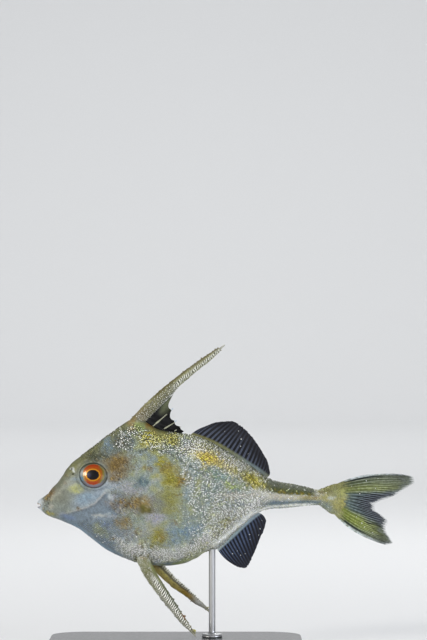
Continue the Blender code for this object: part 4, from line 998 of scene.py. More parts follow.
# Small fleshy knobs along both lips, and the chisel teeth that show between them, both with painted shade at
# the foot and a painted highlight at the top
def makeLips():
    draw = np.random.default_rng(61)
    rim, rimNormal = (grid[len(mouth["rows"]) + lips["row"]] for grid in (skinPoints, skinNormals))
    spread = np.linspace(-lips["spread"], lips["spread"], lips["knobs"]) * math.pi
    angles = np.concatenate([math.pi / 2 + spread, -math.pi / 2 + spread])
    angles = angles + draw.normal(size=len(angles)) * 0.03
    j = np.round(skinColumn(angles)).astype(int) % len(rim)
    roots = rim[j] + draw.normal(size=(len(j), 3)) * [0.12, 0.03, 0.06]
    outward = rimNormal[j] + [-1.2, 0, 0]
    outward /= np.linalg.norm(outward, axis=1)[:, None]
    knob = beadShape(8,
                     [(0.9, 0.9, -0.7, 0), (1.0, 1.0, 0.3, 0), (0.85, 0.85, 1.0, 0), (0.45, 0.45, 1.45, 0)])
    tone = np.array([linear(t) for t in lips["tones"]])[draw.integers(0, len(lips["tones"]), len(j))]
    addBeads("lip_knobs", knob, roots, [0.0, 0.0, 1.0], outward, draw.uniform(*lips["knobSize"], len(j)),
             fleshMaterial, rising(tone[:, None], 0.75, 0.35), seed=62, sway=30, lean=12, slot="skin")
    step = np.arange(lips["teeth"]) - (lips["teeth"] - 1) / 2
    roots = np.concatenate([np.stack([first + lips["archDepth"] * step**2, step * pitch,
                                      np.full(len(step), h)], 1)
                            for first, pitch, h, _ in lips["rows"]])
    outward = np.repeat([way for *_, way in lips["rows"]], len(step), 0)
    tooth = beadShape(8, [(0.5, 0.85, -1.2, 0), (0.5, 1.0, 0.0, 0), (0.4, 0.95, 1.6, 0), (0.22, 0.8, 2.4, 0)])
    addBeads("teeth", tooth, roots, [1.0, 0.0, 0.0], outward, lips["toothSize"], fleshMaterial,
             rising(linear(lips["enamel"]), 0.7, 0.3), seed=63, sway=2, lean=2, slot="skin")


makeLips()
print("mouth made")

# The spines: a centre line of stations, half widths along it, how far it starts from
# the middle and spreads outwards. Across each face runs a place from -1 to 1, which is
# 1 on the edge to the left of the way from root to tip. A ladder of bright rungs lies
# round the place and within the width given, from one share of the length to another.
spines = {
    "dorsal": {"node": "dorsal_spine", "root": 0.0, "spread": 0.0, "side": 1,
               "line": [(31, 23.6), (34.7, 28), (40.7, 33.9), (46.6, 39.4), (50, 42.2), (53.5, 44.9),
                        (57, 47.5), (59.6, 49.5), (61, 50.6), (62.4, 51.8)],
               "half": [(0, 2.2), (0.11, 2.05), (0.22, 1.95), (0.33, 1.5), (0.44, 1.35), (0.56, 1.2),
                        (0.67, 1.0), (0.78, 0.78), (0.85, 0.62), (0.88, 0.34), (0.95, 0.3), (1, 0.14)],
               "tones": ["#857c58", "#828058", "#84845a", "#86845a", "#9c9b82", "#c0c0b8"],
               "ladder": (-0.3, 0.42, 0.25, 0.88, "#eceedd"), "granuled": 0.5, "rough": 0.5, "clear": 4.6,
               "slant": -0.5, "groove": 0,
               "nubs": [(0.16, 1, 0.3), (0.30, 1, 0.22), (0.42, 1, 0.36), (0.50, 1, 0.2), (0.565, 1, 0.3),
                        (0.61, 1, 0.42), (0.67, 1, 0.28), (0.735, 1, 0.24), (0.78, 1, 0.32), (0.84, 1, 0.3),
                        (0.86, -1, 0.34), (0.07, 1, 0.34)],
               "buds": [], "budTone": "#b9b08c"},
    "left": {"node": "pelvic_spine_left", "root": 2.05, "spread": 16.0, "side": -1,
             "line": [(34.2, -17.6), (35.9, -21.3), (38.7, -26.2), (40.9, -29.3), (43, -32.2), (45, -34.8),
                      (46.9, -37.4), (49.1, -40.2), (50.9, -42.3), (52.7, -44.6)],
             "half": [(0, 1.6), (0.11, 2.05), (0.22, 1.85), (0.33, 1.75), (0.44, 1.6), (0.56, 1.45),
                      (0.67, 1.2), (0.78, 0.95), (0.89, 0.62), (0.94, 0.42), (1, 0.16)],
             "tones": ["#8b8b58", "#85884f", "#787a54", "#77795e", "#7f7c5a", "#a8a794"],
             "ladder": (0.12, 0.44, 0.15, 0.93, "#fffff4"), "granuled": 0.34, "rough": 0.92, "clear": 1.2,
             "slant": 0.45, "groove": 0,
             "nubs": [(0.17, -1, 0.26), (0.3, -1, 0.24), (0.36, -1, 0.3), (0.44, -1, 0.22), (0.5, -1, 0.36),
                      (0.6, -1, 0.24), (0.5, 1, 0.42), (0.585, 1, 0.36), (0.66, 1, 0.4), (0.72, 1, 0.55),
                      (0.86, 1, 0.34), (0.8, 1, 0.26), (0.75, -1, 0.2)],
             "buds": [(0.925, 1, 0.8), (0.955, 0.9, 0.5)], "budTone": "#d8ce3c"},
    "right": {"node": "pelvic_spine_right", "root": 2.05, "spread": 20.0, "side": 1,
              "line": [(33.4, -17.8), (36.6, -20.2), (40.2, -22.8), (42.8, -25.5), (45.3, -28), (48.1, -30.3),
                       (50.7, -32.5), (53, -34.6), (55.4, -36.4), (57.4, -38.4)],
              "half": [(0, 1.5), (0.11, 1.75), (0.22, 1.75), (0.33, 1.7), (0.44, 1.55), (0.56, 1.35),
                       (0.67, 1.15), (0.78, 0.95), (0.89, 0.62), (0.94, 0.42), (1, 0.2)],
              "tones": ["#a2a15a", "#a69e52", "#a1944a", "#92823a", "#9c9887", "#aaa88a"],
              "ladder": (0.95, 0.22, 0.06, 0.86, "#f6f6e4"), "granuled": 0.0, "rough": 0.0, "clear": 0.0,
              "slant": 0.0, "groove": 1,
              "nubs": [(0.2, 1, 0.2), (0.3, 1, 0.24), (0.38, 1, 0.2), (0.46, 1, 0.26), (0.54, 1, 0.2),
                       (0.62, 1, 0.22), (0.71, 1, 0.34), (0.72, -1, 0.36), (0.78, 1, 0.2), (0.64, -1, 0.2)],
              "buds": [(0.93, 1, 0.46), (0.965, 0.8, 0.5), (0.985, -0.2, 0.42), (0.93, -0.8, 0.36)],
              "budTone": "#c8be38"},
    "flatness": 0.78, "rings": 340, "around": 48, "rungPitch": 0.76, "rungHeight": 0.16, "granule": 0.23,
    "granulePitch": 0.6, "gapShadeTone": "#26271a", "granuleTone": "#fdfdf2", "nubTone": "#c4bfae",
    "spreadFrom": 2 / 17,
}


# Stains of each spine's own, and the painted shade in the right one's groove, from the place across it, the
# share of the length and the millimetres from the root
def spineStainsAndShade(key, place, at, far, groove, spot):
    if key == "dorsal":
        rear = ease(-place, 0.3, 0.95)
        return [("#7d6c46", 0.6 * fall(far, 5, 10) * (1 - 0.5 * rear)),
                ("#544c22", 0.8 * ease(place, 0.2, 0.9) * ease(far, 11, 15) * fall(at, 0.84, 0.9)),
                ("#6f7568", 0.7 * rear * bell(far, 16, 4.5))]
    if key == "left":
        return [("#8e9083", 0.8 * ease(-place, 0.1, 0.5) * ease(at, 0.25, 0.4)),
                ("#47512f", 0.85 * ease(place, 0.5, 0.8) * bell(at, 0.5, 0.22)),
                ("#84521c", 0.9 * ease(place, 0.3, 0.75) * bell(at, 0.72, 0.035))]
    stained = ease(ripple(spot, 1.3, 79), 0.2, 1.1) * (at > 0.12) * (at < 0.72)
    return [("#a7985f", 0.8 * bell(place, -0.7, 0.45) * bell(at, 0.38, 0.2)),
            # the dark in the groove is painted shade
            ("#7f5c2e", 0.5 * bell(place, -0.05, 0.4) * bell(at, 0.2, 0.06)), ("#2c2810", 0.92 * groove),
            ("#4b4319", 0.75 * stained * bell(place, 0.2, 0.6)),
            ("#a08028", 0.9 * bell(place, -0.1, 0.7) * bell(at, 0.63, 0.07)),
            ("#a5a49c", 0.85 * bell(at, 0.82, 0.08) + 0 * place)]


# A spine: rings square to the centre line, whose half width across is the
# flatness times the one seen from the side. Rungs are narrow steps along it, from
# the sine of the length travelled; the right one has a groove along its face.
def makeSpine(key):
    look = spines[key]
    share = np.linspace(0, 1, spines["rings"])
    centre, half = curveAlong(look["line"], share), curve(look["half"], share)
    way = np.gradient(centre, axis=0)
    way /= np.linalg.norm(way, axis=1)[:, None]
    travelled = np.concatenate([[0], np.cumsum(np.linalg.norm(np.diff(centre, axis=0), axis=1))])
    start = np.interp(spines["spreadFrom"], share, travelled)
    out = look["side"] * (look["root"]
                          + np.maximum(travelled - start, 0) * math.tan(math.radians(look["spread"])))
    angle, at, far, wide = turns(spines["around"]), share[:, None], travelled[:, None], half[:, None]
    place, depth = np.cos(angle)[None], np.sin(angle)[None]
    spot = np.stack(np.broadcast_arrays(far, 2 * place, 2 * depth), -1)
    middle, width, first, last, bright = look["ladder"]
    ladder = bell(place, middle, width) * span(at, first, first + 0.12, last - 0.05, last)
    ladder = np.clip(ladder * (1.5 + 0.5 * ripple(spot, 2.4, 70)), 0, 1)
    phase = (far + look["slant"] * wide * place) * 2 * math.pi / spines["rungPitch"]
    rung = ease(np.sin(phase + 1.1 * ripple(spot, 1.8, 71)), -0.3, 0.4)
    size = wide + ease(wide, 0.25, 1.0) * (spines["rungHeight"] * rung * (0.35 + ladder)
                                           + 0.05 * ripple(spot, 0.9, 72) + 0.06 * ripple(spot, 2.6, 76))
    groove = look["groove"] * bell(place, 0.5, 0.3) * span(at, 0.08, 0.16, 0.62, 0.74)
    size = size - 0.45 * groove
    flat = centre[:, None] + (place * size)[..., None] * np.stack([-way[:, 1], way[:, 0]], 1)[:, None]
    rings = aside(flat, out[:, None] + depth * size * spines["flatness"])
    colour = np.repeat(curveAlong([linear(t) for t in look["tones"]], share)[:, None], spines["around"], 1)
    colour = colour * (0.95 + 0.22 * ripple(spot, 1.7, 73) + 0.2 * ripple(spot, 0.7, 77))[..., None]
    colour = wash(colour, *spineStainsAndShade(key, place, at, far, groove, spot))
    # painted shade: the ground is dark between the raised bars and between the granules
    grown = np.interp(far, [look["clear"], look["clear"] + 1.5], [0, 1])
    grown = grown * (far < travelled[-1] * look["granuled"]) * ease(0.9 - place, 0, 0.8)
    colour = wash(colour * (1 - 0.36 * grown)[..., None], (spines["gapShadeTone"], 0.9 * ladder * (1 - rung)),
                  (bright, ladder * rung))
    # at its root a spine wears the body's own paint, so that the one runs into the other
    root = fall(far + 0.5 * ripple(spot, 1.5, 78), 2.6, 6.5)[..., None]
    colour = np.clip(colour + (paint(aside(flat))[..., :3] - colour) * root, 0.01, 1)
    addTube(f"spine_{key}", rings, boneMaterial, marks=colour, slot="spine", replaced=(look["node"],))
    normal = gridNormals(rings)
    normal *= np.sign((normal[..., 1] * (rings[..., 1] - out[:, None])).sum())
    along = np.stack([way[:, 0], np.gradient(out, travelled), way[:, 1]], -1)
    draw = np.random.default_rng(74 + len(key))

    # beads on the spine at rows and columns of its grid, with painted shade at the foot, and brighter at the
    # top as a painted highlight that runs into the given tone
    def addGrains(what, shape, row, column, size, top, lean):
        row, lit = np.clip(row, 0, len(rings) - 1.01), draw.uniform(0.3, 1, len(row))
        roots, outward, own = (readGrid(grid, row, column) for grid in (rings, normal, colour))

        def tonesOf(rise, count):
            made = own[:, None] * (0.5 + 0.7 * rise[None, :, None])
            return np.clip(made + (linear(top) - made) * lit[:, None, None] * rise[None, :, None] ** 2, 0, 1)

        addBeads(f"spine_{key}_{what}", shape, roots, along[np.round(row).astype(int)], outward, size,
                 boneMaterial, tonesOf, seed=75, sway=15, lean=lean, slot="spine")

    # rows of rough granules over the lower part of the spine; beyond the granuled
    # share only the front edge stays rough, and before it the rear half and the face
    places = []
    for n, t in enumerate(np.arange(look["clear"], travelled[-1] * look["rough"], spines["granulePitch"])):
        count = max(4, int(2 * math.pi * np.interp(t, travelled, half) * 0.9 / spines["granulePitch"]))
        column = (np.arange(count) + 0.5 * (n % 2)) * len(angle) / count
        limit = -0.3 if t > travelled[-1] * look["granuled"] else 0.6
        column = column[np.cos(column * 2 * math.pi / len(angle)) < limit]
        row = np.interp(t, travelled, np.arange(len(travelled)))
        places.append(np.stack([np.full(len(column), row), column], 1))
    if places:
        row, column = np.concatenate(places).T
        row, column = row + draw.normal(size=len(row)) * 0.6, column + draw.normal(size=len(row)) * 0.4
        granule = beadShape(6, [(1.0, 0.9, -0.3, 0), (0.85, 0.8, 0.35, 0.1), (0.45, 0.45, 0.75, 0.3)])
        addGrains("granules", granule, row, column, spines["granule"] * draw.uniform(0.7, 1.25, len(row)),
                  spines["granuleTone"], 8)
    # nubs stand on the edges, and the pelvic spines end in a few yellow buds
    bluntCone = beadShape(8, [(0.9, 0.8, -0.5, 0), (0.75, 0.65, 0.3, 0.1), (0.4, 0.4, 0.9, 0.35)])
    for what, tone in (("nubs", spines["nubTone"]), ("buds", look["budTone"])):
        if look[what]:
            t, w, size = np.array(look[what]).T
            column = np.arccos(w) / (2 * math.pi) * len(angle)
            addGrains(what, bluntCone, t * (len(rings) - 1), column, size, tone, 3)


for key in ("dorsal", "left", "right"):
    makeSpine(key)
print("spines made")

# Fins: stations of the root line and of the free edge, from front to back or from top
# to bottom. The median fins share the plain values, and each states what differs.
plainFin = {"webAlpha": 0.985, "rayAlpha": 1.0, "fade": 0.0, "sheathHalf": 0.42, "rayHalf": 0.1,
            "rayWidth": 0.17, "notch": 0.03, "branchFrom": 1.0, "sway": 0.25, "bow": 0.0}
fins = {
    "soft_dorsal_fin": {
        **plainFin,
        "root": [(51, 21.8), (52.7, 21.3), (56.7, 19.8), (60.2, 18.1), (63.6, 16.1), (67, 14), (70.4, 11.8),
                 (73.1, 10.1), (75.2, 8.6), (76.4, 7.6)],
        "edge": [(56.4, 24.7), (59.6, 26.0), (64.4, 26.4), (67, 25.4), (68.9, 24), (71, 21.8), (73.2, 18.8),
                 (75, 15.9), (76.7, 12.7), (77.4, 9.4)],
        "rays": 23, "web": "#0a0c13", "ray": "#687186", "margin": "#16151a", "sheathReach": 1.0, "bow": 0.4,
        "sheath": ["#6f6e45", "#747349", "#73785f", "#6c7a7c", "#6c6f58"]},
    "anal_fin": {
        **plainFin,
        "root": [(59.8, -16.3), (60.9, -15.3), (62.5, -13.9), (64.2, -12.4), (66.1, -10.7), (68.1, -8.8),
                 (69.9, -7.2), (71.6, -5.7), (72.9, -4.7), (73.6, -4.2)],
        "edge": [(65.2, -21.6), (66.9, -22.5), (68.7, -22.8), (69.9, -22.4), (70.8, -21), (71.7, -18.9),
                 (72.8, -16.3), (74, -13.2), (75.4, -10.1), (76.2, -7)],
        "rays": 17, "web": "#090e1a", "ray": "#5f7194", "margin": "#17161c", "sheathReach": 0.9, "bow": -0.5,
        "sheath": ["#b4bebd", "#9fb0b4", "#93a5ab", "#8fa0aa", "#949fa3"], "rayWidth": 0.18},
    "tail_fin": {
        **plainFin,
        "root": [(99.9, 5.5), (100.5, 5.1), (101, 4.4), (101.3, 3.7), (101.5, 3), (101.7, 2.2), (101.8, 1.4),
                 (101.9, 0.6), (101.8, -0.2), (101.6, -1), (101.3, -1.8), (101, -2.6), (100.6, -3.3),
                 (100.2, -4), (99.7, -4.5), (99, -4.9)],
        "edge": [(121.6, 8.6), (125.4, 7.6), (125.8, 6), (124, 4.6), (121.1, 2.8), (118.3, 0.9),
                 (114.6, -0.4), (112.4, -1.8), (112.8, -3.5), (115.1, -5.3), (116.8, -7.2), (116.1, -9),
                 (116.4, -11), (117.5, -12.7), (118.4, -14.4), (115.9, -15.1)],
        "rays": 18, "web": "#424c36", "ray": "#b6bfa8", "sheath": None, "sheathReach": 1.6,
        "sheathHalf": 0.06, "webAlpha": 0.97, "rayHalf": 0.2, "notch": 0.16, "branchFrom": 0.16, "sway": 0.5,
        "bow": 1.5},
    "pectoral": {
        **plainFin,
        "root": [(36.6, 0.5), (36.3, -0.6), (36.2, -1.8), (36.4, -3), (36.8, -3.9)],
        "edge": [(43.4, 5.2), (46, 3.6), (46.9, 1), (46.6, -1.8), (44.2, -4.2)],
        "rays": 12, "web": "#83866a", "ray": "#9a9b70", "sheath": ["#6d6430"] * 5, "sheathReach": 0.5,
        "webAlpha": 0.14, "rayAlpha": 0.42, "fade": 0.6, "rayHalf": 0.07, "notch": 0.04, "branchFrom": 0.35,
        "sway": 0.1},
    "columnsPerRay": 14, "rows": 60, "webHalf": 0.05, "sink": 1.6, "joints": 0.35,
}


# A fin ray seen across its cell: one ridge at the root that parts in two, and each of those in two again
def rayRidge(c, t, look):
    first = 0.5 * ease(t, look["branchFrom"], look["branchFrom"] + 0.5)
    second = 0.22 * ease(t, look["branchFrom"] + 0.3, 1.05)
    return np.maximum.reduce([bell(c, a * first + b * second, look["rayWidth"] - 0.05 * t)
                              for a in (-1, 1) for b in (-1, 1)])


# A fin: places run from the root line to the free edge along each ray, with the web thin between the ridges
# and a fleshy sheath at the root. lateral moves it off the middle plane and bow bends its rays apart.
def makeFin(name, look, material, slot, node, lateral=None, tint=None):
    u = np.linspace(0, 1, look["rays"] * fins["columnsPerRay"] + 1)[None]
    t = np.concatenate([[-1], np.linspace(0, 1, fins["rows"]) ** 0.9])[:, None]
    cell = (u * look["rays"]) % 1 * 2 - 1
    up = np.clip(t, 0, 1)
    ridge, tip = rayRidge(cell, up, look), rayRidge(cell[0], 1.0, look)
    low, high = curveAlong(look["root"], u[0]), curveAlong(look["edge"], u[0])
    draw, thirty = np.random.default_rng(81), np.linspace(0, 1, 30)
    ragged = 1 - look["notch"] * (1 - tip) * np.interp(u[0], thirty, draw.uniform(0.3, 1.4, 30))
    way = (high - low) * ragged[:, None]
    length = np.linalg.norm(way, axis=1)
    unit = way / length[:, None]
    flat = low[None] + way[None] * up[..., None] - unit[None] * (np.clip(-t, 0, 1) * fins["sink"])[..., None]
    outward = np.stack([-unit[:, 1], unit[:, 0]], 1)
    flat = flat + outward[None] * (look["bow"] * (1 - 2 * u) * 4 * up * (1 - up))[..., None]
    reach = up * length[None]
    sheath = fall(reach, look["sheathReach"] * 0.5, look["sheathReach"] * 1.3)
    half = (fins["webHalf"] * (1 - 0.5 * up) + look["rayHalf"] * ridge * (1 - 0.75 * up)
            + look["sheathHalf"] * sheath**1.5)
    half = np.minimum(half, 0.03 + 0.9 * (1 - up) * 6)
    spot = aside(flat)
    middle = look["sway"] * up**1.5 * ripple(spot, 11.0, 82)
    if lateral:
        middle = middle + lateral(up)
    web, rays = (np.zeros((*ridge.shape, 3)) + linear(look[key]) for key in ("web", "ray"))
    if tint:
        web, rays = tint(web, rays, spot, up, u)
    else:
        # bright bluish rays over dark gaps at the root, and both run into one dull tone towards the margin
        fading = ease(up + 0.4 * ease(u, 0.5, 0.95) + 0.06 * ripple(spot, 2.0, 88), 0.15, 0.95)
        web, rays = wash(web, (look["margin"], 0.8 * fading)), wash(rays, (look["margin"], 0.82 * fading))
    joints = 0.75 + 0.25 * ease(np.sin(reach * 2 * math.pi / fins["joints"]), -0.6, 0.2)
    colour = web + (rays * joints[..., None] - web) * (0.9 * ridge)[..., None]
    if look["sheath"]:
        fleshy = curveAlong([linear(tone) for tone in look["sheath"]], u[0])[None]
        colour = colour + (fleshy - colour) * (0.92 * sheath)[..., None]
    else:
        # no border: the skin's own paint runs out on to the rays, further on some than on others
        own = paint(np.minimum(spot, [body["end"] - 0.4, np.inf, np.inf]))[..., :3]
        reachOut = 0.07 + 0.05 * np.interp(u, thirty, draw.uniform(-1, 1, 30)) + 0.1 * ridge
        fadeOut = fall(up + 0.03 * ripple(spot, 0.9, 83), 0.0, 2 * reachOut)
        own = own * (1 + 0.25 * ripple(spot, 0.8, 89))[..., None]
        colour = colour + (own - colour) * fadeOut[..., None]
    alpha = look["webAlpha"] + (look["rayAlpha"] - look["webAlpha"]) * ridge
    alpha = (alpha + (1 - alpha) * sheath) * (1 - look["fade"] * ease(up, 0.4, 1))
    addPlate(name, flat, middle, half, material, np.concatenate([colour, alpha[..., None]], -1), slot=slot,
             replaced=(node,))


# The tail is olive above, dark bluish grey with pale rays in the fork and a fuller yellow-green below.
# Both outer edges are pale, beaded rays with a dark gap inside them, and the ray tips are worn pale.
def tailTint(web, rays, spot, up, u):
    shift = u + 0.008 * ripple(spot, 4.0, 90)
    lobe = shift - 0.07 * up**2
    fork = ease(shift + 0.08 * up**2, 0.3, 0.38) * fall(lobe, 0.62, 0.74)
    high = bell(shift, 0.25, 0.08)
    # below the fork the yellow-green is fullest near the base and next to the dark rays, and pales outwards
    full = ease(lobe, 0.64, 0.76) * (1 - 0.45 * ease(up, 0.3, 1)) * (1 - 0.45 * ease(shift, 0.82, 0.94))
    web = wash(web, ("#737c42", 0.85 * high * (1 - 0.5 * up)), ("#52625f", fork),
               ("#040508", fork * ease(up, 0.1, 0.62)), ("#717d36", full))
    rays = wash(rays, ("#adb678", 0.6 * high), ("#97a9ae", fork), ("#777d88", fork * ease(up, 0.3, 0.9)),
                ("#bdc67c", full), ("#bcc6b4", 0.6 * ease(shift, 0.84, 0.94)))
    beads = 0.6 + 0.4 * np.sin(up * 60 + 2 * ripple(spot, 2.0, 84))
    for edge in (u, 1 - u):
        gap = bell(edge, 0.05, 0.022) * ease(up, 0.06, 0.2) * (1 - 0.6 * ease(up, 0.45, 0.75))
        pale = fall(edge, 0.018, 0.042) * ease(up, 0.02, 0.15) * beads
        web = wash(web, ("#1c262c", gap), ("#d3dde2", pale))
        rays = wash(rays, ("#1c262c", gap), ("#dfe8ec", pale))
    split = bell(shift, 0.74, 0.012) * ease(up, 0.4, 0.7)
    worn = 0.75 * ease(up + 0.04 * ripple(spot, 1.2, 87), 0.9, 1.0)
    mottle = 1 + 0.16 * ripple(spot, 1.6, 85) + 0.12 * ripple(spot, 0.8, 86)
    mottle = mottle * (1 - 0.4 * ease(up, 0.6, 0.95) * (1 - fork))
    web = wash(web, ("#0a0c0c", split)) * mottle[..., None]
    rays = wash(rays, ("#1a1c18", 0.8 * split)) * mottle[..., None]
    return wash(web, ("#6b736e", 0.8 * worn * (1 - 0.7 * fork))), wash(rays, ("#b3bbba", worn))


def pectoralTint(web, rays, spot, up, u):
    return wash(web, ("#8f8a9a", 0.6 * fall(up, 0.1, 0.5) * fall(u, 0.3, 0.7)),
                ("#8e8c42", 0.8 * ease(up, 0.45, 0.9))), rays


# How far a pectoral fin stands off the middle plane: it leaves the flank steeply, then lies close along it
def pectoralLateral(side):
    return lambda up: side * (7.3 + 1.75 * (1 - (1 - up) ** 3) + 0.9 * up)


makeFin("dorsal_web", fins["soft_dorsal_fin"], webMaterial, "fin_membrane", "soft_dorsal_fin")
makeFin("anal_web", fins["anal_fin"], webMaterial, "fin_membrane", "anal_fin")
makeFin("tail_web", fins["tail_fin"], tailMaterial, "tail_membrane", "tail_fin", tint=tailTint)
for side, name in ((-1, "left"), (1, "right")):
    makeFin(f"pectoral_web_{name}", fins["pectoral"], webMaterial, "fin_membrane", f"pectoral_fin_{name}",
            lateral=pectoralLateral(side), tint=pectoralTint)

# Small white grains that lie on the fins, as (s, h, radius), on both faces
grains = [(67.8, 20.3, 0.2), (67.6, 17.9, 0.17), (66.9, 23.0, 0.13), (72.7, 19.3, 0.16), (62.3, 22.9, 0.09),
          (70.1, 15.4, 0.09), (74.1, -9.6, 0.18), (70.6, -11.5, 0.15), (70.8, -13.1, 0.11),
          (73.6, -11.7, 0.14), (64.9, -17.9, 0.14), (67.6, -18.4, 0.15), (69.1, -17.9, 0.13),
          (74.7, -6.8, 0.1), (66.5, -17.0, 0.1), (114.6, -9.4, 0.26), (108.0, -7.7, 0.2), (108.9, -9.0, 0.17),
          (116.8, 5.3, 0.17), (118.8, 5.3, 0.19), (109.5, 6.4, 0.18), (107.3, 2.1, 0.2), (111.6, -10.9, 0.15),
          (106.2, -5.6, 0.13), (112.6, 3.9, 0.13), (113.4, 7.2, 0.12), (104.6, 4.6, 0.12), (121.2, 6.4, 0.12)]
grainLook = {"side": 0.16, "tone": "#e9edea"}


def makeGrains():
    s, h, size = np.array(grains).T
    roots = np.concatenate([aside(np.stack([s, h], 1), side * grainLook["side"]) for side in (-1, 1)])
    outward = np.repeat([[0.0, -1, 0], [0.0, 1, 0]], len(s), 0)
    shape = beadShape(8, [(0.8, 0.8, -0.8, 0), (1.0, 1.0, 0.0, 0), (0.7, 0.75, 0.6, 0)])
    addBeads("fin_grains", shape, roots, [1.0, 0, 0.3], outward, np.tile(size, 2), boneMaterial,
             rising(linear(grainLook["tone"])), seed=96, slot="spine")


makeGrains()
print("fins made")

# The first dorsal fin: a dark web from the long spine's rear edge down over four short spines
spinyFin = {
    "root": [(35.2, 25.9), (38.4, 25), (42.2, 23.4), (45.4, 22.6), (47.9, 22.3)],
    "edge": [(45.2, 35.3), (44.6, 30.0), (45.6, 26.4), (47.4, 24.5), (48.7, 22.9)],
    "short": [((38.4, 24.6), (45.0, 30.3), 0.42), ((41.6, 23.4), (46.2, 26.2), 0.36),
              ((44.9, 22.4), (47.8, 24.6), 0.3), ((47.0, 21.9), (48.9, 23.2), 0.22)],
    "web": "#020203", "fold": "#0c0c10", "webAlpha": 0.99, "spine": "#b4b69c", "flap": "#5c6149",
    "columns": 90, "rows": 40, "glintBeads": [(44.8, 30.3), (45.9, 26.3)], "glintBeadSize": 0.34, "glintBeadTone": "#c9d3dc",
}


# The web hangs hollow between the spines, with soft folds painted on it as faintly lighter bands, a painted
# sheen; each short spine is a cone; and two white beads at the tips stand for painted glints
def makeSpinyFin():
    u = np.linspace(0, 1, spinyFin["columns"])[None]
    t = np.concatenate([[-0.35], np.linspace(0, 1, spinyFin["rows"])])[:, None]
    low, high = curveAlong(spinyFin["root"], u[0]), curveAlong(spinyFin["edge"], u[0])
    hollow = 1 - 0.16 * np.abs(np.sin(u[0] * 4 * math.pi))
    flat = low[None] + ((high - low) * hollow[:, None])[None] * t[..., None]
    spot = aside(flat)
    half = (0.1 + 0.3 * fall(t, 0.0, 0.35) + 0 * u) * (1 - 0.6 * ease(t, 0.6, 1.0))
    foldSheen = 0.5 + 0.5 * np.sin(u * 46 + 2 * ripple(spot, 3.0, 92))
    colour = wash(np.zeros(spot.shape) + linear(spinyFin["web"]), (spinyFin["fold"], 0.4 * foldSheen),
                  (spinyFin["flap"], fall(u, 0.05, 0.3) * ease(t, 0.45, 0.75)))
    alpha = spinyFin["webAlpha"] + 0.01 * fall(t, 0, 0.4) + 0 * u
    addPlate("spiny_web", flat, 0.3 * np.clip(t, 0, 1) * ripple(spot, 4.0, 91), half, webMaterial,
             np.concatenate([colour, alpha[..., None]], -1), slot="fin_membrane",
             replaced=("spiny_dorsal_fin",))
    at, angle = np.linspace(0, 1, 24)[:, None], turns(16)[None]
    for n, (foot, tip, radius) in enumerate(spinyFin["short"]):
        foot, way = np.array(foot), np.array(tip) - foot
        across = np.array([-way[1], way[0]]) / np.linalg.norm(way)
        r = radius * (1 - 0.85 * at) + 0 * angle
        rings = aside((foot + way * at)[:, None] + (np.cos(angle) * r)[..., None] * across,
                      np.sin(angle) * r * 1.15)
        spot = np.stack(np.broadcast_arrays(4 * at, np.cos(angle), np.sin(angle)), -1)
        tone = linear(spinyFin["spine"])[None, None] * (0.85 + 0.25 * ripple(spot, 1.0, 93 + n))[..., None]
        addTube(f"short_spine_{n + 1}", rings, boneMaterial, marks=np.clip(tone, 0.02, 1), slot="spine")
    glintBead = beadShape(10, [(1.5, 0.7, -0.6, 0), (1.6, 1.0, 0, 0), (1.5, 0.7, 0.6, 0)])
    addBeads("fin_glint_beads", glintBead, aside(np.array(spinyFin["glintBeads"])), [1.0, 0, 0.8], [0.0, -1, 0],
             spinyFin["glintBeadSize"], boneMaterial, rising(linear(spinyFin["glintBeadTone"])), seed=95, slot="spine")


makeSpinyFin()
print("spiny fin made")

# The stand: a lacquered board with round corners, and a turned rod on a low foot that goes up into the belly
stand = {"centre": 46.0, "size": (84.0, 46.0), "corner": 12.0, "edge": 0.7, "rodAt": 58.1, "rodRadius": 1.1,
         "footRadius": 3.4, "footHeight": 1.2, "rodInto": 2.5, "gap": 0.05}


# The board's outline is a rectangle with quarter circles at its corners, drawn in by the rounding of its rim
def makeBoard():
    outline = []
    for n, (a, b) in enumerate(((1, 1), (-1, 1), (-1, -1), (1, -1))):
        turn = n * math.pi / 2 + np.linspace(0, math.pi / 2, 24)
        outline.append(np.stack([np.cos(turn), np.sin(turn), np.full(24, a), np.full(24, b)], 1))
    cosine, sine, a, b = np.concatenate(outline).T
    r, height = stand["edge"], stationOrigin["boardTop"]
    profile = [(-6.0, 0.0), (-2.0, 0.0), (-0.4, 0.0), (-0.1, 0.1), (0, 0.4), (0, height * 0.5)]
    profile += [(-r * (1 - math.cos(w)), height - r * (1 - math.sin(w)))
                for w in np.linspace(0, math.pi / 2, 9)]
    profile += [(inset, height) for inset in (-1.4, -4.0, -7.0, -10.0, -11.5)]
    reach = [side / 2 - stand["corner"] for side in stand["size"]]
    rings = [np.stack([stand["centre"] + a * reach[0] + (stand["corner"] + inset) * cosine,
                       b * reach[1] + (stand["corner"] + inset) * sine, np.full_like(a, z - levelZ)], 1)
             for inset, z in profile]
    addTube("board", np.array(rings), boardMaterial, slot="stand_board", replaced=("stand_base",))


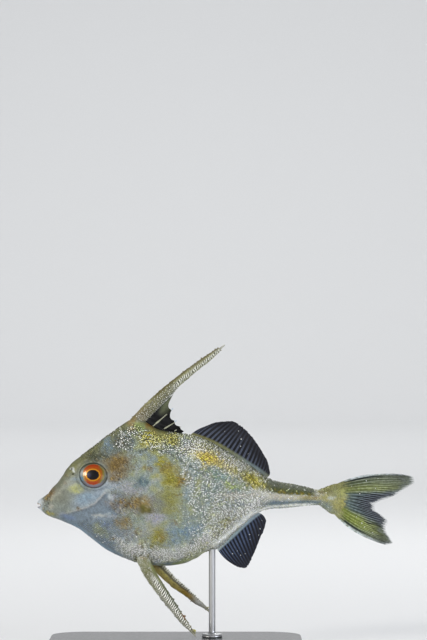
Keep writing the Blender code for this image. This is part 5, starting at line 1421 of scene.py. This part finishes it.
# The rod and its foot are one profile of (radius, height) turned round the upright axis
def makeRod():
    foot = stationOrigin["boardTop"] + stand["gap"]
    shoulder = foot + stand["footHeight"]
    top = levelZ + float(curve(body["belly"], stand["rodAt"])) + stand["rodInto"]
    r, f = stand["rodRadius"], stand["footRadius"]
    bend = [(1 - math.cos(w), 1 - math.sin(w)) for w in np.linspace(0, math.pi / 2, 7)]
    profile = [(0.3, foot), (f - 0.15, foot), (f, foot + 0.15), (f, shoulder - 0.3)]
    profile += [(f - 0.3 * a, shoulder - 0.3 * b) for a, b in bend]
    profile += [(r + 0.8 * b, shoulder + 0.8 * a) for a, b in bend]
    profile += [(r, z) for z in np.linspace(shoulder + 1.0, top, 60)] + [(0.3, top)]
    turn = turns(64)
    rings = [np.stack([stand["rodAt"] + q * np.cos(turn), q * np.sin(turn), np.full(64, z - levelZ)], 1)
             for q, z in profile]
    addTube("rod", np.array(rings), steelMaterial, slot="stand_steel", replaced=("stand_rod",))


makeBoard()
makeRod()
print("stand made")

# Photo studio: a pale paper sweep, a large key light from the upper front left,
# a fill, a low one and one from behind. A lamp has a place, a size, a power, a
# tone and where it aims, and the last two light the floor and the wall.
studio = {
    "paper": "#d9dadb", "paperGrain": 1.2, "sweepFront": -3.0, "sweepBack": 2.6, "sweepRadius": 0.5,
    "sweepWide": 3.5, "sweepTop": 3.2, "aim": (58.57, 60.0), "frameHeight": 213.33, "distance": 1.2,
    "sensor": 36.0, "sky": "#e3e6ea", "skyStrength": 0.3,
    "lamps": {"key": ((-0.95, -0.8, 0.45), 0.3, 7.4, "#fffaf2", (0, 0, 0.055)),
              "fill": ((0.95, -0.8, 0.35), 0.4, 6.0, "#f1f5ff", (0, 0, 0.055)),
              "low": ((0.1, -0.95, 0.21), 0.4, 1.2, "#f9f9fc", (0, 0, 0.055)),
              "rim": ((0.2, 0.6, 0.6), 0.3, 1.4, "#ffffff", (0, 0, 0.055)),
              "floor wash": ((0.0, 0.5, 2.0), 1.6, 24.0, "#ffffff", (0.0, 1.45, 0.25)),
              "wall wash": ((0.0, 2.0, 2.0), 1.6, 20.0, "#ffffff", (0.0, 3.1, 0.25))},
}


# Paper: uncoated and matt, with a fibre too fine to see, drawn here as a faint mottle about a millimetre wide
def makePaperMaterial():
    material, tree, shader, place = newMaterial("matt paper")
    fibre = addNode(tree, "ShaderNodeTexNoise",
                    {"Vector": place, "Scale": 1 / (studio["paperGrain"] * mm)})["Fac"]
    dark, light = ((*(linear(studio["paper"]) * share), 1) for share in (0.97, 1.03))
    tint = addNode(tree, "ShaderNodeMix", {0: fibre, 6: dark, 7: light}, data_type="RGBA")
    plug(tree, shader, {"Base Color": tint[2], "Roughness": 0.85})
    return material


# The sweep's profile: flat floor, a quarter circle, then an upright wall, drawn out sideways
def makeSweep():
    bend, r, behind = np.linspace(0, math.pi / 2, 32), studio["sweepRadius"], studio["sweepBack"]
    y = np.concatenate([[studio["sweepFront"]], behind + r * np.sin(bend), [behind + r]])[:, None]
    z = np.concatenate([[0.0], r * (1 - np.cos(bend)), [studio["sweepTop"]]])[:, None]
    points = np.stack(np.broadcast_arrays(np.linspace(-studio["sweepWide"], studio["sweepWide"], 5), y, z),
                      -1)
    mesh = bpy.data.meshes.new("sweep")
    mesh.from_pydata(points.reshape(-1, 3).tolist(), [], gridCells(len(y), 5, False)[0][:, ::-1].tolist())
    mesh.shade_smooth()
    mesh.materials.append(makePaperMaterial())
    sweep = bpy.data.objects.new("sweep", mesh)
    bpy.context.scene.collection.objects.link(sweep)


def makeLights():
    for name, (at, size, power, tone, target) in studio["lamps"].items():
        light = bpy.data.lights.new(name, "AREA")
        light.shape, light.size, light.energy, light.color = "DISK", size, power, linear(tone)
        lamp = bpy.data.objects.new(name, light)
        lamp.location, lamp.visible_camera = at, False
        lamp.rotation_euler = (Vector(target) - Vector(at)).to_track_quat("-Z", "Y").to_euler()
        bpy.context.scene.collection.objects.link(lamp)
    world = bpy.data.worlds.new("room")
    world.use_nodes = True
    plug(world.node_tree, world.node_tree.nodes["Background"],
         {"Color": (*linear(studio["sky"]), 1), "Strength": studio["skyStrength"]})
    bpy.context.scene.world = world


# The camera is level and square to the flank, aimed at a
# station, and its frame is so many millimetres high there
def makeCamera():
    aimS, aimH = studio["aim"]
    camera = bpy.data.cameras.new("camera")
    camera.sensor_width = studio["sensor"]
    camera.lens = studio["sensor"] * studio["distance"] / (studio["frameHeight"] * mm)
    camera.clip_start, camera.clip_end = 0.05, 20
    viewer = bpy.data.objects.new("camera", camera)
    viewer.location = ((stationOrigin["snoutX"] + aimS) * mm, -studio["distance"], (levelZ + aimH) * mm)
    viewer.rotation_euler = (math.pi / 2, 0, 0)
    bpy.context.scene.collection.objects.link(viewer)
    bpy.context.scene.camera = viewer


makeSweep()
makeLights()
makeCamera()
bpy.context.scene.view_settings.view_transform = "Standard"
print("studio made")
